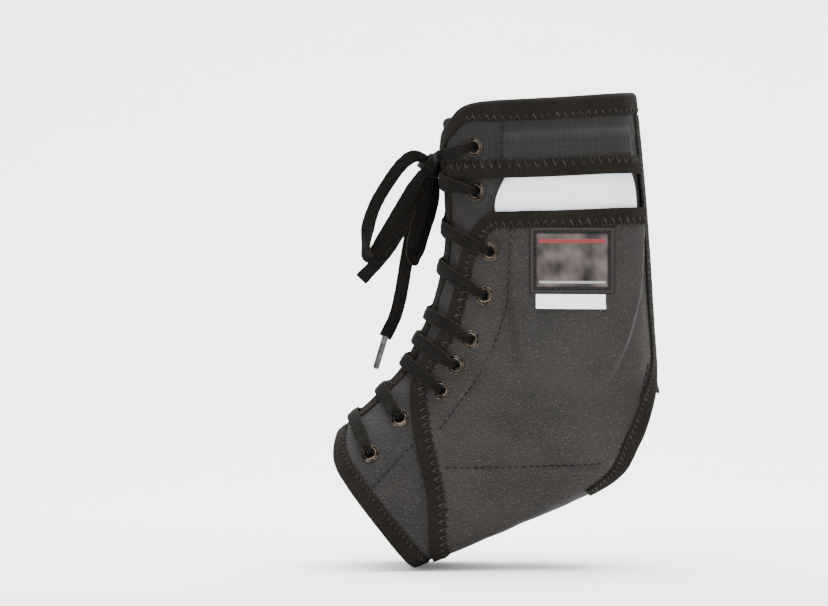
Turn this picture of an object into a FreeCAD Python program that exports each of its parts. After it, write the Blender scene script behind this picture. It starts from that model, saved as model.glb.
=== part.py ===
import FreeCAD, Part
import math, os
from FreeCAD import Vector

os.makedirs("parts", exist_ok=True)

# An open-heel, lace-up ankle brace, in millimetres. +X runs to the heel, -X to the toes, -Y is the
# outer side, +Y the inner side and +Z is up the leg. The origin is the middle of the ankle.

# overall sizes
cuff_top = 131.0          # where the front of the top section lies
leg_half_width = 38.0
ankle_half_width = 41.0
foot_half_width = 40.0

# layers, as offsets from the outer outline of the brace
quarter_in = -3.0
quarter_out = -0.8
skin_gap = 0.15           # air between sewn layers
skin_thick = 0.8
stay_in = -0.4
stay_thick = 1.6
stay_room = 0.9           # air over the stay, inside its pocket
tongue_out = -6.2
tongue_thick = 3.0
tape_thick = 0.8
tape_gap = 0.15
fold_gap = 0.3            # more room at a panel's edge, inside the fold
flat_gap = 0.45           # under a tape or label that is sewn on flat
elastic_thick = 1.4

# widths of the tapes
top_tape = 7.0
front_tape = 5.0
back_tape = 6.0
toe_tape = 6.0
cuff_tape = 7.6
pocket_tape = 7.0

# openings and joints
half_gap = 15.0           # half the space between the flaps
toe_half_gap = 11.0
achilles_half = 10.0      # half the strip between the back edges
sole_half = 22.0
seam_gap = 0.3
stay_travel = 6.0

# eyelets and lace
hole_r = 2.4
barrel_r = 2.8
rim_r = 4.4
rim_high = 0.85
washer_r = 4.2
washer_thick = 0.5
bore_gap = 0.1
lace_wide = 6.6
lace_thick = 1.4
folded_wide = 3.3
folded_thick = 2.2
lace_over = 2.3           # middle of a lace lying on the outside
lace_under = -5.0         # middle of a lace lying under a flap

# the fan of sections: front x and z, back x and z, half width, roundness of front and of back
sections = [
    (-44.2, cuff_top, 50.0, cuff_top + 10.0, leg_half_width, 2.6, 2.3),
    (-42.6, 86.4, 55.2, 86.4, leg_half_width, 2.6, 2.3),
    (-42.2, 67.2, 56.6, 67.2, leg_half_width + 0.3, 2.6, 2.3),
    (-48.2, 38.4, 58.6, 38.4, leg_half_width + 1.0, 2.5, 2.2),
    (-55.6, 21.6, 64.2, -8.0, ankle_half_width, 2.4, 2.2),
    (-62.6, 9.6, 68.0, -30.0, ankle_half_width - 3.0, 2.3, 2.4),
    (-69.4, 1.0, 48.0, -45.9, ankle_half_width - 5.0, 2.3, 3.2),
    (-78.6, -9.0, 10.0, -61.7, foot_half_width - 3.5, 2.2, 5.0),
    (-86.0, -16.4, -20.0, -74.2, foot_half_width - 1.5, 2.2, 5.0),
    (-94.0, -24.6, -48.0, -85.9, foot_half_width, 2.2, 5.0),
    (-104.0, -37.0, -64.0, -92.5, foot_half_width, 2.2, 5.0),
]

# eyelets of one side, from the top down: x and z of the centre, as seen from the side
eyelets = [(-27.2, 110.7), (-26.6, 89.9), (-19.7, 61.4), (-22.3, 40.6), (-28.9, 19.9),
           (-35.9, 8.0), (-42.9, -4.0), (-62.5, -17.0), (-76.7, -33.5)]
skinned = [True, False, True, True, True, True, True, False, False]   # a second layer lies there


def natural(xs, ys):
    """A smooth curve through the points, as a function of x."""
    n = len(xs) - 1
    h = [xs[i + 1] - xs[i] for i in range(n)]
    low = [0.0] * (n + 1)
    c = [0.0] * (n + 1)
    for i in range(1, n):
        rise = 3 * ((ys[i + 1] - ys[i]) / h[i] - (ys[i] - ys[i - 1]) / h[i - 1])
        div = 2 * (xs[i + 1] - xs[i - 1]) - h[i - 1] * low[i - 1]
        low[i] = h[i] / div
        c[i] = (rise - h[i - 1] * c[i - 1]) / div
    for i in range(n - 1, 0, -1):
        c[i] = c[i] - low[i] * c[i + 1]

    def at(x):
        i = 0
        while i < n - 1 and x > xs[i + 1]:
            i += 1
        d = x - xs[i]
        b = (ys[i + 1] - ys[i]) / h[i] - h[i] * (c[i + 1] + 2 * c[i]) / 3
        return ys[i] + d * (b + d * (c[i] + d * (c[i + 1] - c[i]) / (3 * h[i])))
    return at


def smooth(x):
    x = max(0.0, min(1.0, x))
    return x * x * (3 - 2 * x)


fan = [0.0]
for one, two in zip(sections, sections[1:]):
    front_step = math.hypot(two[0] - one[0], two[1] - one[1])
    back_step = math.hypot(two[2] - one[2], two[3] - one[3])
    fan.append(fan[-1] + (front_step + back_step) / 2)
channels = [natural(fan, [row[k] for row in sections]) for k in range(7)]
end = fan[-1]


def skin(s, t):
    """A point of the outer outline: s runs down the fan, t is 0 in front, 1 behind, < 0 inside."""
    fx, fz, bx, bz, w, nf, nb = [c(s) for c in channels]
    angle = math.pi * abs(t)
    ca = abs(math.cos(angle))
    sa = abs(math.sin(angle))
    n = nf if abs(t) < 0.5 else nb
    r = (ca ** n + sa ** n) ** (-1.0 / n)
    a = r * math.cos(angle)
    y = w * r * math.sin(angle) * (-1 if t > 0 else 1)
    return Vector((fx + bx) / 2 + (fx - bx) / 2 * a, y, (fz + bz) / 2 + (fz - bz) / 2 * a)


def slopes(s, t):
    e = 0.4
    f = 0.002
    return (skin(s + e, t) - skin(s - e, t)) / (2 * e), (skin(s, t + f) - skin(s, t - f)) / (2 * f)


def normal(s, t):
    ds, dt = slopes(s, t)
    n = ds.cross(dt)
    n.normalize()
    mid = Vector((channels[0](s) + channels[2](s)) / 2, 0, (channels[1](s) + channels[3](s)) / 2)
    return n if n.dot(skin(s, t) - mid) > 0 else n * -1


def lift(s, t, d):
    return skin(s, t) + normal(s, t) * d


def from_side(x, z):
    """The place on the outer side that is seen at x, z."""
    def cross(s):
        fx, fz, bx, bz = [c(s) for c in channels[:4]]
        return (bx - fx) * (z - fz) - (bz - fz) * (x - fx)
    lo, hi = 0.0, end
    for _ in range(40):
        mid = (lo + hi) / 2
        if cross(mid) < 0:
            lo = mid
        else:
            hi = mid
    fx, fz, bx, bz, w, nf, nb = [c(lo) for c in channels]
    a = 1 - 2 * ((x - fx) * (bx - fx) + (z - fz) * (bz - fz)) / ((bx - fx) ** 2 + (bz - fz) ** 2)
    a = max(-0.9985, min(0.9985, a))
    n = nf if a > 0 else nb
    b = (1 - abs(a) ** n) ** (1.0 / n)
    return lo, math.atan2(b, a) / math.pi


def from_width(s, y, behind):
    """The place on section s whose distance from the middle plane is y, in front or behind."""
    w, nf, nb = [c(s) for c in channels[4:]]
    n = nb if behind else nf
    b = min(0.999, y / w)
    a = (1 - b ** n) ** (1.0 / n)
    return s, math.atan2(b, -a if behind else a) / math.pi


def walk(s, t, way, far):
    """Go `far` along the outline in the direction `way`."""
    steps = max(1, int(abs(far) / 2.0) + 1)
    for _ in range(steps):
        ds, dt = slopes(s, t)
        p, q, r = ds.dot(ds), ds.dot(dt), dt.dot(dt)
        u, v = way.dot(ds), way.dot(dt)
        k = p * r - q * q
        s += (u * r - v * q) / k * far / steps
        t += (v * p - u * q) / k * far / steps
    return s, t


def curve(points, count, skip=0.0, leave=0.0):
    """The (s, t) points as a smooth line of `count` even ones, cut by skip and leave at its ends."""
    places = [0.0]
    spots = [skin(*p) for p in points]
    for p, q in zip(spots, spots[1:]):
        places.append(places[-1] + (q - p).Length)
    fs = natural(places, [p[0] for p in points])
    ft = natural(places, [p[1] for p in points])
    runs = [skip + (places[-1] - skip - leave) * i / (count - 1) for i in range(count)]
    return [(fs(run), ft(run)) for run in runs]


def drawn_out(points):
    """Control points that make a cubic surface pass through the points along this direction."""
    if len(points) < 5:
        return points
    out = [list(row) for row in points]
    for i in range(2, len(points) - 2):
        for j in range(len(points[0])):
            p, q, r = points[i - 1][j], points[i][j], points[i + 1][j]
            out[i][j] = q - (p - q * 2 + r) / 6
    return out


def turned(points):
    return [list(row) for row in zip(*points)]


def surface(points):
    """A smooth surface through a grid of points."""
    points = turned(drawn_out(turned(drawn_out(points))))
    orders, knots, mults = [], [], []
    for count in (len(points), len(points[0])):
        order = min(3, count - 1)
        spans = count - order
        orders.append(order)
        knots.append(list(range(spans + 1)))
        mults.append([order + 1] + [1] * (spans - 1) + [order + 1])
    out = Part.BSplineSurface()
    out.buildFromPolesMultsKnots(points, mults[0], mults[1], knots[0], knots[1], False, False,
                                 orders[0], orders[1])
    return out


def sheet(one, two):
    """A closed solid between two grids of points."""
    faces = [surface(one).toShape(), surface(two).toShape()]
    for k in (0, -1):
        faces.append(surface([one[k], two[k]]).toShape())
        faces.append(surface([[row[k] for row in one], [row[k] for row in two]]).toShape())
    shell = Part.makeCompound(faces)
    shell.sewShape()
    solid = Part.makeSolid(shell.Shells[0])
    if solid.Volume < 0:
        solid.reverse()
    return solid


def grid(front, back, across):
    rows = []
    for (s0, t0), (s1, t1) in zip(front, back):
        rows.append([(s0 + (s1 - s0) * j / (across - 1), t0 + (t1 - t0) * j / (across - 1))
                     for j in range(across)])
    return rows


def panel(rows, low, high):
    """A panel over the (s, t) rows; low and high are offsets or functions of (s, t)."""
    one, two = [], []
    for row in rows:
        a, b = [], []
        for s, t in row:
            p = skin(s, t)
            n = normal(s, t)
            a.append(p + n * (low(s, t) if callable(low) else low))
            b.append(p + n * (high(s, t) if callable(high) else high))
        one.append(a)
        two.append(b)
    return sheet(one, two)


def heading(line, i):
    """The direction of the line at one of its points, along the outline."""
    a = skin(*line[max(0, i - 1)])
    b = skin(*line[min(len(line) - 1, i + 1)])
    way = b - a
    way.normalize()
    return way


def binding(line, side, wide, low, high):
    """A tape folded round a panel's edge; side is +1 when the panel lies to the left of the line."""
    one, two = [], []
    for i, (s, t) in enumerate(line):
        inward = normal(s, t).cross(heading(line, i)) * side
        w = wide(i / (len(line) - 1)) if callable(wide) else wide
        top = high(s, t) if callable(high) else high
        mid = (top + low) / 2
        half = (top - low) / 2 + tape_gap
        spots = [walk(s, t, inward, w * k / 3.0) for k in (3, 2, 1)]
        outer = [lift(p[0], p[1], top + tape_gap + tape_thick) for p in spots]
        inner = [lift(p[0], p[1], top + tape_gap) for p in spots]
        p, n = skin(s, t), normal(s, t)
        for k in range(7):
            angle = math.pi * k / 6
            for half_k, row in ((half + tape_thick, outer), (half, inner)):
                row.append(p + n * (mid + half_k * math.cos(angle))
                           - inward * (half_k + fold_gap) * math.sin(angle))
        for q in spots[::-1]:
            outer.append(lift(q[0], q[1], low - tape_gap - tape_thick))
            inner.append(lift(q[0], q[1], low - tape_gap))
        one.append(outer)
        two.append(inner)
    return sheet(one, two)


def flat_tape(line, side, wide, under):
    """A tape stitched flat along an edge, on top of the panel."""
    one, two = [], []
    for i, (s, t) in enumerate(line):
        inward = normal(s, t).cross(heading(line, i)) * side
        w = wide(i / (len(line) - 1)) if callable(wide) else wide
        spots = [walk(s, t, inward, w * k / 4.0) for k in range(5)]
        one.append([lift(p[0], p[1], under(*p) + flat_gap) for p in spots])
        two.append([lift(p[0], p[1], under(*p) + flat_gap + tape_thick) for p in spots])
    return sheet(one, two)


# --- the outlines of the panels ------------------------------------------------------------------

def gap_at(s):
    return half_gap + (toe_half_gap - half_gap) * smooth((s - fan[3]) / (fan[9] - fan[3]))


def rim_line():
    """The rim from the back, along the top, round the front corner and down the flap to the toe."""
    z = cuff_top
    spots = [from_width(from_side(45.0, z + 3.6)[0], achilles_half, True)]
    spots += [from_side(38.0, z + 2.6), from_side(14.4, z + 0.6), from_side(-10.0, z - 0.7),
              from_side(-26.0, z - 1.8), from_side(-33.4, z - 4.0), from_side(-38.2, z - 9.0)]
    first = from_side(-40.6, z - 16.0)[0]
    last = from_side(-91.0, -25.0)[0]
    for k in range(12):
        s = first + (last - first) * k / 11
        spots.append(from_width(s, gap_at(s), False))
    return curve(spots, 110)


def back_line():
    """The back edge, round the heel opening, then along the sole to the toe."""
    top = from_side(45.0, cuff_top + 3.6)[0]
    spots = []
    for k in range(6):
        s = top + (from_side(55.0, 12.0)[0] - top) * k / 5
        spots.append(from_width(s, achilles_half, True))
    for x, z in [(58.2, -4.0), (54.2, -17.0), (48.6, -30.5), (43.0, -42.0)]:
        spots.append(from_side(x, z))
    for x, z in [(26.0, -55.0), (10.0, -61.7), (-10.0, -70.0), (-30.0, -78.4), (-48.0, -85.9)]:
        s = from_side(x, z + 1.5)[0]
        spots.append(from_width(s, sole_half + seam_gap, True))
    spots.append(from_width(from_side(-55.0, -86.5)[0], sole_half + seam_gap, True))
    return curve(spots, 60)


def toe_line(front, back):
    """The toe edge, from the flap's lower corner down to the sole."""
    return curve([front, from_side(-92.6, -36.0), from_side(-86.6, -46.6), from_side(-77.0, -59.5),
                  from_side(-67.4, -71.8), back], 14)


def blend_rows(front, back, top, bottom):
    """Rows that follow all four edges of a panel."""
    across = len(top)
    m = len(front)
    rows = []
    for i in range(m):
        u = i / (m - 1)
        row = []
        for j in range(across):
            v = j / (across - 1)
            point = []
            for k in (0, 1):
                sides = front[i][k] * (1 - v) + back[i][k] * v
                ends = top[j][k] * (1 - u) + bottom[j][k] * u
                corners = ((front[0][k] * (1 - v) + back[0][k] * v) * (1 - u)
                           + (front[-1][k] * (1 - v) + back[-1][k] * v) * u)
                point.append(sides + ends - corners)
            row.append(tuple(point))
        rows.append(row)
    return rows


# --- the stay and the room that its pocket leaves -------------------------------------------------

stay_front = [(-9.0, 103.0), (-12.4, 96.0), (-16.8, 81.0), (-13.0, 73.0), (-7.0, 64.0), (-5.5, 50.0),
              (-4.0, 30.0), (-1.0, 8.0)]
stay_back = [(42.6, 105.0), (46.8, 98.0), (49.2, 82.0), (49.4, 72.0), (49.0, 62.0), (48.0, 50.0),
             (44.0, 30.0), (34.0, 8.0)]
stay_rows = 16
room_side = 3.5           # the pocket stays open this far beside the stay
room_fall = 4.5           # and closes over this distance


def girth(s):
    """How many millimetres of half outline one unit of t is."""
    return slopes(s, 0.5)[1].Length


def stay_edges():
    front = curve([from_side(*p) for p in stay_front], stay_rows)
    back = curve([from_side(*p) for p in stay_back], stay_rows)
    return front, back


edge_front, edge_back = stay_edges()
edge_front_t = natural([p[0] for p in edge_front], [p[1] for p in edge_front])
edge_back_t = natural([p[0] for p in edge_back], [p[1] for p in edge_back])
stay_high_s = from_side(20.0, 105.0 + stay_travel + 4.0)[0]
stay_low_s = from_side(20.0, 6.0)[0]


def room(s, t):
    """1 over the stay and its travel, 0 well away from it."""
    g = girth(s)
    inside = min(max(s, edge_front[0][0]), edge_front[-1][0])
    side = smooth(((t - edge_front_t(inside)) * g + room_fall + room_side) / room_fall)
    side *= smooth(((edge_back_t(inside) - t) * g + room_fall + room_side) / room_fall)
    ends = smooth((s - stay_high_s + 6.0) / 6.0) * smooth((stay_low_s + 12.0 - s) / 12.0)
    return side * ends


skin_flat = quarter_out + skin_gap
skin_rise = stay_in + stay_thick + stay_room - skin_flat


def skin_low(s, t):
    return skin_flat + skin_rise * room(s, t)


def skin_high(s, t):
    return skin_low(s, t) + skin_thick


# --- building -------------------------------------------------------------------------------------

rim = rim_line()
corner_at = from_side(-35.6, cuff_top - 6.0)
corner = min(range(len(rim)), key=lambda i: math.hypot(rim[i][0] - corner_at[0],
                                                       (rim[i][1] - corner_at[1]) * 100))
top = curve(rim[corner::-1], 24)
front = curve(rim[corner:], 60)
back = back_line()
toe = toe_line(front[-1], back[-1])
across = 26


def bore(solid, which, radius):
    for (x, z), covered in zip(eyelets, skinned):
        if covered or not which:
            s, t = from_side(x, z)
            low = lift(s, t, -5.5)
            solid = solid.cut(Part.makeCylinder(radius, 9.0, low, normal(s, t)))
    return solid


def make_quarter():
    rows = blend_rows(front, back, curve(top, across), curve(toe, across))
    solid = bore(panel(rows, quarter_in, quarter_out), False, barrel_r + bore_gap)
    for x, z in eyelets:
        s, t = from_side(x, z)
        seat_top = quarter_in - tape_gap + bore_gap       # the washers bite into the lining
        seat = Part.makeCylinder(washer_r + bore_gap, 3.0, Vector(0, 0, seat_top - 3.0))
        seat.Placement = FreeCAD.Placement(skin(s, t), FreeCAD.Rotation(Vector(0, 0, 1), normal(s, t)))
        solid = solid.cut(seat)
    return solid


cuff_low_spots = [(-38.0, 96.0), (-27.0, 96.1), (-10.0, 96.4), (14.4, 97.2), (36.0, 98.4)]


def cuff_low_line():
    s0 = from_side(-38.0, 95.8)[0]
    s1 = from_side(50.0, 99.0)[0]
    spots = [from_width(s0, gap_at(s0), False)] + [from_side(x, z) for x, z in cuff_low_spots[1:]]
    spots.append(from_width(s1, achilles_half, True))
    return curve(spots, across)


def stretch(line, s_end, count):
    """The line from its start down to s_end."""
    keep = [p for p in line if p[0] < s_end[0] - 2.5]
    return curve(keep + [s_end], count)


def make_cuff():
    low = cuff_low_line()
    rows = blend_rows(stretch(front, low[0], 18), stretch(back, low[-1], 18), curve(top, across), low)
    return bore(panel(rows, skin_low, skin_high), True, barrel_r + bore_gap), low


pocket_front = [(-17.5, 79.6), (-22.0, 78.0), (-26.6, 73.4), (-30.0, 67.0), (-33.6, 58.0), (-35.4, 48.0),
                (-37.6, 38.0), (-41.8, 25.0), (-49.6, 13.4), (-55.4, 3.0), (-57.2, -8.0), (-55.4, -25.0),
                (-52.6, -38.0), (-49.8, -50.0), (-48.4, -66.0), (-47.8, -79.0)]


def pocket_lines():
    """The four edges of the side panel that covers the stay and runs down to the sole."""
    f = [from_side(x, z) for x, z in pocket_front]
    end_s = f[-1][0] + 2.0
    corner = from_width(end_s, sole_half + seam_gap, True)
    f = curve(f + [corner], 40)
    s_top = from_side(50.0, 82.4)[0]
    t_line = curve([f[0], from_side(-5.0, 80.0), from_side(14.4, 80.4), from_side(36.0, 81.4),
                    from_width(s_top, achilles_half, True)], across)
    stop = from_side(26.0, -53.5)[0]
    b = [p for p in back if s_top + 3 < p[0] < stop - 2]
    low_s = from_width(stop, sole_half + seam_gap, True)
    b = curve([t_line[-1]] + b + [low_s], 40)
    b_line = [from_width(corner[0] + (low_s[0] - corner[0]) * k / 7, sole_half + seam_gap, True)
              for k in range(8)]
    return f, b, t_line, curve(b_line, across)


def make_pocket():
    f, b, t_line, b_line = pocket_lines()
    solid = panel(blend_rows(f, b, t_line, b_line), skin_low, skin_high)
    return bore(solid, True, barrel_r + bore_gap), f, t_line


def make_stay():
    return panel(grid(edge_front, edge_back, 14), stay_in, stay_in + stay_thick)


def make_sole():
    """A flat plate under the foot, between the two halves."""
    ax, az = 25.5, -54.9
    bx, bz = -55.5, -54.9 + (-55.5 - 25.5) * 0.4165
    way = Vector(bx - ax, 0, bz - az)
    far = way.Length
    way.normalize()
    down = Vector(0, 1, 0).cross(way)
    if down.z > 0:
        down = down * -1
    corner = Vector(ax, 0, az) + down * quarter_in
    profile = []
    inset = 5.0
    for a, b in ((0, -sole_half + inset), (inset, -sole_half), (far - inset, -sole_half),
                 (far, -sole_half + inset), (far, sole_half - inset), (far - inset, sole_half),
                 (inset, sole_half), (0, sole_half - inset)):
        profile.append(corner + way * a + Vector(0, b, 0))
    profile.append(profile[0])
    face = Part.Face(Part.makePolygon(profile))
    solid = face.extrude(down * (quarter_out - quarter_in))
    under = Vector((ax + bx) / 2, 0, (az + bz) / 2) + down * quarter_out
    print("sole face", [round(c, 3) for c in under], [round(c, 5) for c in down])
    return solid


fold_reach = (skin_flat + skin_thick - quarter_in) / 2 + tape_gap + tape_thick + fold_gap


def make_elastic():
    """The stretch strip behind the Achilles tendon."""
    s0 = from_side(47.0, cuff_top + 4.0)[0]
    s1 = from_side(57.0, -3.5)[0]
    wide = achilles_half - fold_reach - 2 * seam_gap
    rows = []
    for k in range(20):
        s = s0 + (s1 - s0) * k / 19
        a = from_width(s, wide, True)[1]
        rows.append([(s, a + (2 - 2 * a) * j / 8) for j in range(9)])
    rows = [[(s, t if t <= 1 else t - 2) for s, t in row] for row in rows]
    low = (quarter_in + quarter_out) / 2 - elastic_thick / 2
    return panel(rows, low, low + elastic_thick)


def tongue_rise(s, t):
    """The top of the tongue leans out between the flaps."""
    return 3.4 * smooth((fan[0] + 34.0 - s) / 30.0) * smooth((0.17 - abs(t)) / 0.12)


def tongue_rows(s0, s1, count):
    rows = []
    for k in range(count):
        s = s0 + (s1 - s0) * k / (count - 1)
        half = 33.0 - 5.0 * smooth((s - fan[4]) / (fan[9] - fan[4]))
        corner = 9.0 * (1 - smooth((s - s0) / 16.0))
        t = (half - corner) / girth(s)
        rows.append([(s, t - 2 * t * j / 12) for j in range(13)])
    return rows


tongue_top_s = 9.0
tongue_low_s = fan[9] - 4.0


def make_tongue():
    rows = tongue_rows(tongue_top_s, tongue_low_s, 26)
    return panel(rows, lambda s, t: tongue_out - tongue_thick + tongue_rise(s, t),
                 lambda s, t: tongue_out + tongue_rise(s, t))


def make_tongue_binding():
    one, two = [], []
    for s, t in tongue_rows(tongue_top_s, tongue_low_s, 26)[0]:
        rise = tongue_rise(s, t)
        mid = tongue_out - tongue_thick / 2 + rise
        half = tongue_thick / 2 + tape_gap
        spots = [(s + 6.0 * k / 3, t) for k in (3, 2, 1)]
        outer = [lift(a, b, tongue_out + tongue_rise(a, b) + tape_gap + tape_thick) for a, b in spots]
        inner = [lift(a, b, tongue_out + tongue_rise(a, b) + tape_gap) for a, b in spots]
        p, n = skin(s, t), normal(s, t)
        up = slopes(s, t)[0] * -1
        up.normalize()
        for k in range(7):
            angle = math.pi * k / 6
            for r, dest in ((half + tape_thick, outer), (half, inner)):
                dest.append(p + n * (mid + r * math.cos(angle)) + up * r * math.sin(angle))
        for a, b in spots[::-1]:
            base = tongue_out - tongue_thick + tongue_rise(a, b)
            outer.append(lift(a, b, base - tape_gap - tape_thick))
            inner.append(lift(a, b, base - tape_gap))
        one.append(outer)
        two.append(inner)
    return sheet(one, two)


def make_eyelets():
    rings, washers = [], []
    for (x, z), covered in zip(eyelets, skinned):
        s, t = from_side(x, z)
        base = (skin_high(s, t) if covered else quarter_out) + tape_gap
        foot = quarter_in - tape_gap - washer_thick - 0.1
        p = [Vector(hole_r, 0, foot), Vector(barrel_r, 0, foot), Vector(barrel_r, 0, base),
             Vector(rim_r, 0, base)]
        edges = [Part.makeLine(a, b) for a, b in zip(p, p[1:])]
        crown = Vector((rim_r + hole_r) / 2, 0, base + rim_high)
        edges.append(Part.Arc(p[-1], crown, Vector(hole_r, 0, base)).toShape())
        edges.append(Part.makeLine(Vector(hole_r, 0, base), p[0]))
        face = Part.Face(Part.Wire(edges))
        ring = face.revolve(Vector(0, 0, 0), Vector(0, 0, 1), 360)
        low = quarter_in - tape_gap - washer_thick
        washer = Part.makeCylinder(washer_r, washer_thick, Vector(0, 0, low))
        washer = washer.cut(Part.makeCylinder(barrel_r + bore_gap, 2.0, Vector(0, 0, low - 0.5)))
        turn = FreeCAD.Rotation(Vector(0, 0, 1), normal(s, t))
        place = FreeCAD.Placement(skin(s, t), turn)
        for solid, dest in ((ring, rings), (washer, washers)):
            solid = solid.copy()
            solid.Placement = place
            dest.append(solid)
    return Part.makeCompound(rings), Part.makeCompound(washers)


# --- the lace ---------------------------------------------------------------------------------------

def ribbon(path, wides, thicks, sides):
    """A flat strip along the path; sides are the directions of its width."""
    one, two = [], []
    for i, p in enumerate(path):
        way = path[min(len(path) - 1, i + 1)] - path[max(0, i - 1)]
        way.normalize()
        side = sides[i] - way * sides[i].dot(way)
        side.normalize()
        up = way.cross(side)
        one.append([p + side * (wides[i] / 2 * v) + up * (thicks[i] / 2) for v in (-1, -0.5, 0, 0.5, 1)])
        two.append([p + side * (wides[i] / 2 * v) - up * (thicks[i] / 2) for v in (-1, -0.5, 0, 0.5, 1)])
    return sheet(one, two)


def eyelet_spot(i, side):
    s, t = from_side(*eyelets[i])
    return s, t * side


# a lace leaving or entering a hole: how far along, its level, and how much it is folded
out_steps = [(0.0, -1.5, 1), (0.0, -0.2, 1), (0.25, 1.2, 1), (1.3, 2.6, 0.95), (3.4, 3.2, 0.6),
             (6.0, 2.85, 0.2)]
in_steps = [(6.5, -4.95, 0.1), (3.8, -4.95, 0.6), (1.8, -4.75, 0.9), (0.4, -4.1, 1), (0.0, -3.0, 1),
            (0.0, -1.75, 1)]


# how far each lace climbs along its own flap before it crosses the gap, from the top eyelet down
lace_climb = [0.0, 0.0, 1.5, 6.0, 5.0, 2.5, 4.5, 4.0, 0.0]


def crossing(y, over):
    """The level of a lace across the gap; y is below 0 on the side that it comes from."""
    high = [(-60, lace_over), (-16.5, lace_over), (-12.2, 1.6), (-8.0, -0.8), (0, -1.8), (6.0, -2.8),
            (11.0, lace_under), (60, lace_under)]
    low = [(-60, lace_over), (-16.5, lace_over), (-12.2, 1.6), (-8.0, -2.6), (0, -4.2), (6.0, -4.6),
           (11.0, lace_under), (60, lace_under)]
    table = high if over else low
    for (a, p), (b, q) in zip(table, table[1:]):
        if y <= b:
            u = (y - a) / (b - a)
            return p + (q - p) * u
    return lace_under


def rung(i, j, side, over):
    """One lace from eyelet i on its own side to eyelet j on the other side."""
    s0, t0 = eyelet_spot(i, side)
    s1, t1 = eyelet_spot(j, -side)
    count = 25
    fine = []
    for k in range(201):
        u = k / 200
        rise = lace_climb[i] * 1.6 * math.sin(math.pi * u) * (1 - u)
        fine.append((s0 + (s1 - s0) * u - rise, t0 + (t1 - t0) * u))
    flat = [skin(*p) for p in fine]
    runs = [0.0]
    for a, b in zip(flat, flat[1:]):
        runs.append(runs[-1] + (b - a).Length)
    total = runs[-1]

    def place(run):
        k = 0
        while k < 199 and runs[k + 1] < run:
            k += 1
        u = (run - runs[k]) / (runs[k + 1] - runs[k])
        return fine[k][0] + (fine[k + 1][0] - fine[k][0]) * u, fine[k][1] + (fine[k + 1][1] - fine[k][1]) * u
    stations = list(out_steps)
    first, last = 9.0, total - 9.5
    for k in range(count):
        run = first + (last - first) * k / (count - 1)
        s, t = place(run)
        y = skin(s, t).y * side * half_gap / gap_at(s)
        stations.append((run, crossing(y, over), 0))
    stations += [(total - far, d, fold) for far, d, fold in in_steps]
    path, wides, thicks, sides = [], [], [], []
    for run, d, fold in stations:
        s, t = place(min(max(run, 0.0), total))
        a, b = place(max(run - 1.5, 0.0)), place(min(run + 1.5, total))
        way = skin(*b) - skin(*a)
        way.normalize()
        n = normal(s, t)
        path.append(skin(s, t) + n * d)
        sides.append(n.cross(way))
        wides.append(lace_wide + (folded_wide - lace_wide) * fold)
        thicks.append(lace_thick + (folded_thick - lace_thick) * fold)
    return ribbon(path, wides, thicks, sides)


def bottom_bar():
    """The lace inside, between the two lowest eyelets."""
    s0, t0 = eyelet_spot(8, 1)
    path, wides, thicks, sides = [], [], [], []
    total = abs(t0) * 2 * girth(s0) * 0.86
    spots = [(d, fold, far) for far, d, fold in in_steps[::-1]]
    for k in range(15):
        spots.append((lace_under, 0, 9.5 + (total - 19.0) * k / 14))
    spots += [(d, fold, total - far) for far, d, fold in in_steps]
    for d, fold, run in spots:
        t = t0 - 2 * t0 * run / total
        n = normal(s0, t)
        path.append(skin(s0, t) + n * d)
        sides.append(n.cross(Vector(0, 1, 0)))
        wides.append(lace_wide + (folded_wide - lace_wide) * fold)
        thicks.append(lace_thick + (folded_thick - lace_thick) * fold)
    return ribbon(path, wides, thicks, sides)


knot_at = Vector(-47.4, 0.0, 103.4)
knot_half = (4.2, 7.4, 6.2)


def strip(points, wide, side_of, count=40):
    """A strip through the points, and its length."""
    line = Part.BSplineCurve()
    line.interpolate([Vector(*p) for p in points])
    a, b = line.FirstParameter, line.LastParameter
    path = [line.value(a + (b - a) * k / (count - 1)) for k in range(count)]
    sides = [side_of(k / (count - 1)) for k in range(count)]
    return ribbon(path, [wide] * count, [lace_thick] * count, sides), line.length()


def top_strand(side):
    """From the highest eyelet to the knot."""
    s, t = eyelet_spot(0, side)
    n = normal(s, t)
    p = skin(s, t)
    goal = knot_at + Vector(1.2, -side * (knot_half[1] + 0.5), 0.6)
    way = goal - p
    way = way - n * way.dot(n)
    way.normalize()
    path, wides, thicks, sides = [], [], [], []
    for far, d, fold in out_steps:
        path.append(p + way * far + n * d)
        sides.append(n.cross(way))
        wides.append(lace_wide + (folded_wide - lace_wide) * fold)
        thicks.append(lace_thick + (folded_thick - lace_thick) * fold)
    curve_line = Part.BSplineCurve()
    s_mid, t_mid = from_side(-37.0, 107.5)
    mid = skin(s_mid, t_mid * side) + normal(s_mid, t_mid * side) * lace_over
    edge = skin(*[from_width(s_mid, 14.0, False)[k] * (1 if k == 0 else side) for k in (0, 1)])
    edge = edge + normal(s_mid, 0.12 * side) * (lace_over + 0.9)
    curve_line.interpolate([path[-1], mid, edge, goal])
    a, b = curve_line.FirstParameter, curve_line.LastParameter
    for k in range(1, 14):
        q = curve_line.value(a + (b - a) * k / 13)
        path.append(q)
        mix = k / 13
        sides.append(n.cross(way) * (1 - mix) + Vector(0, 0, 1) * side * mix)
        wides.append(lace_wide - 1.2 * mix)
        thicks.append(lace_thick)
    return ribbon(path, wides, thicks, sides)


def make_knot():
    ball = Part.makeSphere(1.0)
    m = FreeCAD.Matrix()
    m.scale(*knot_half)
    m.move(knot_at)
    return ball.transformGeometry(m)


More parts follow.
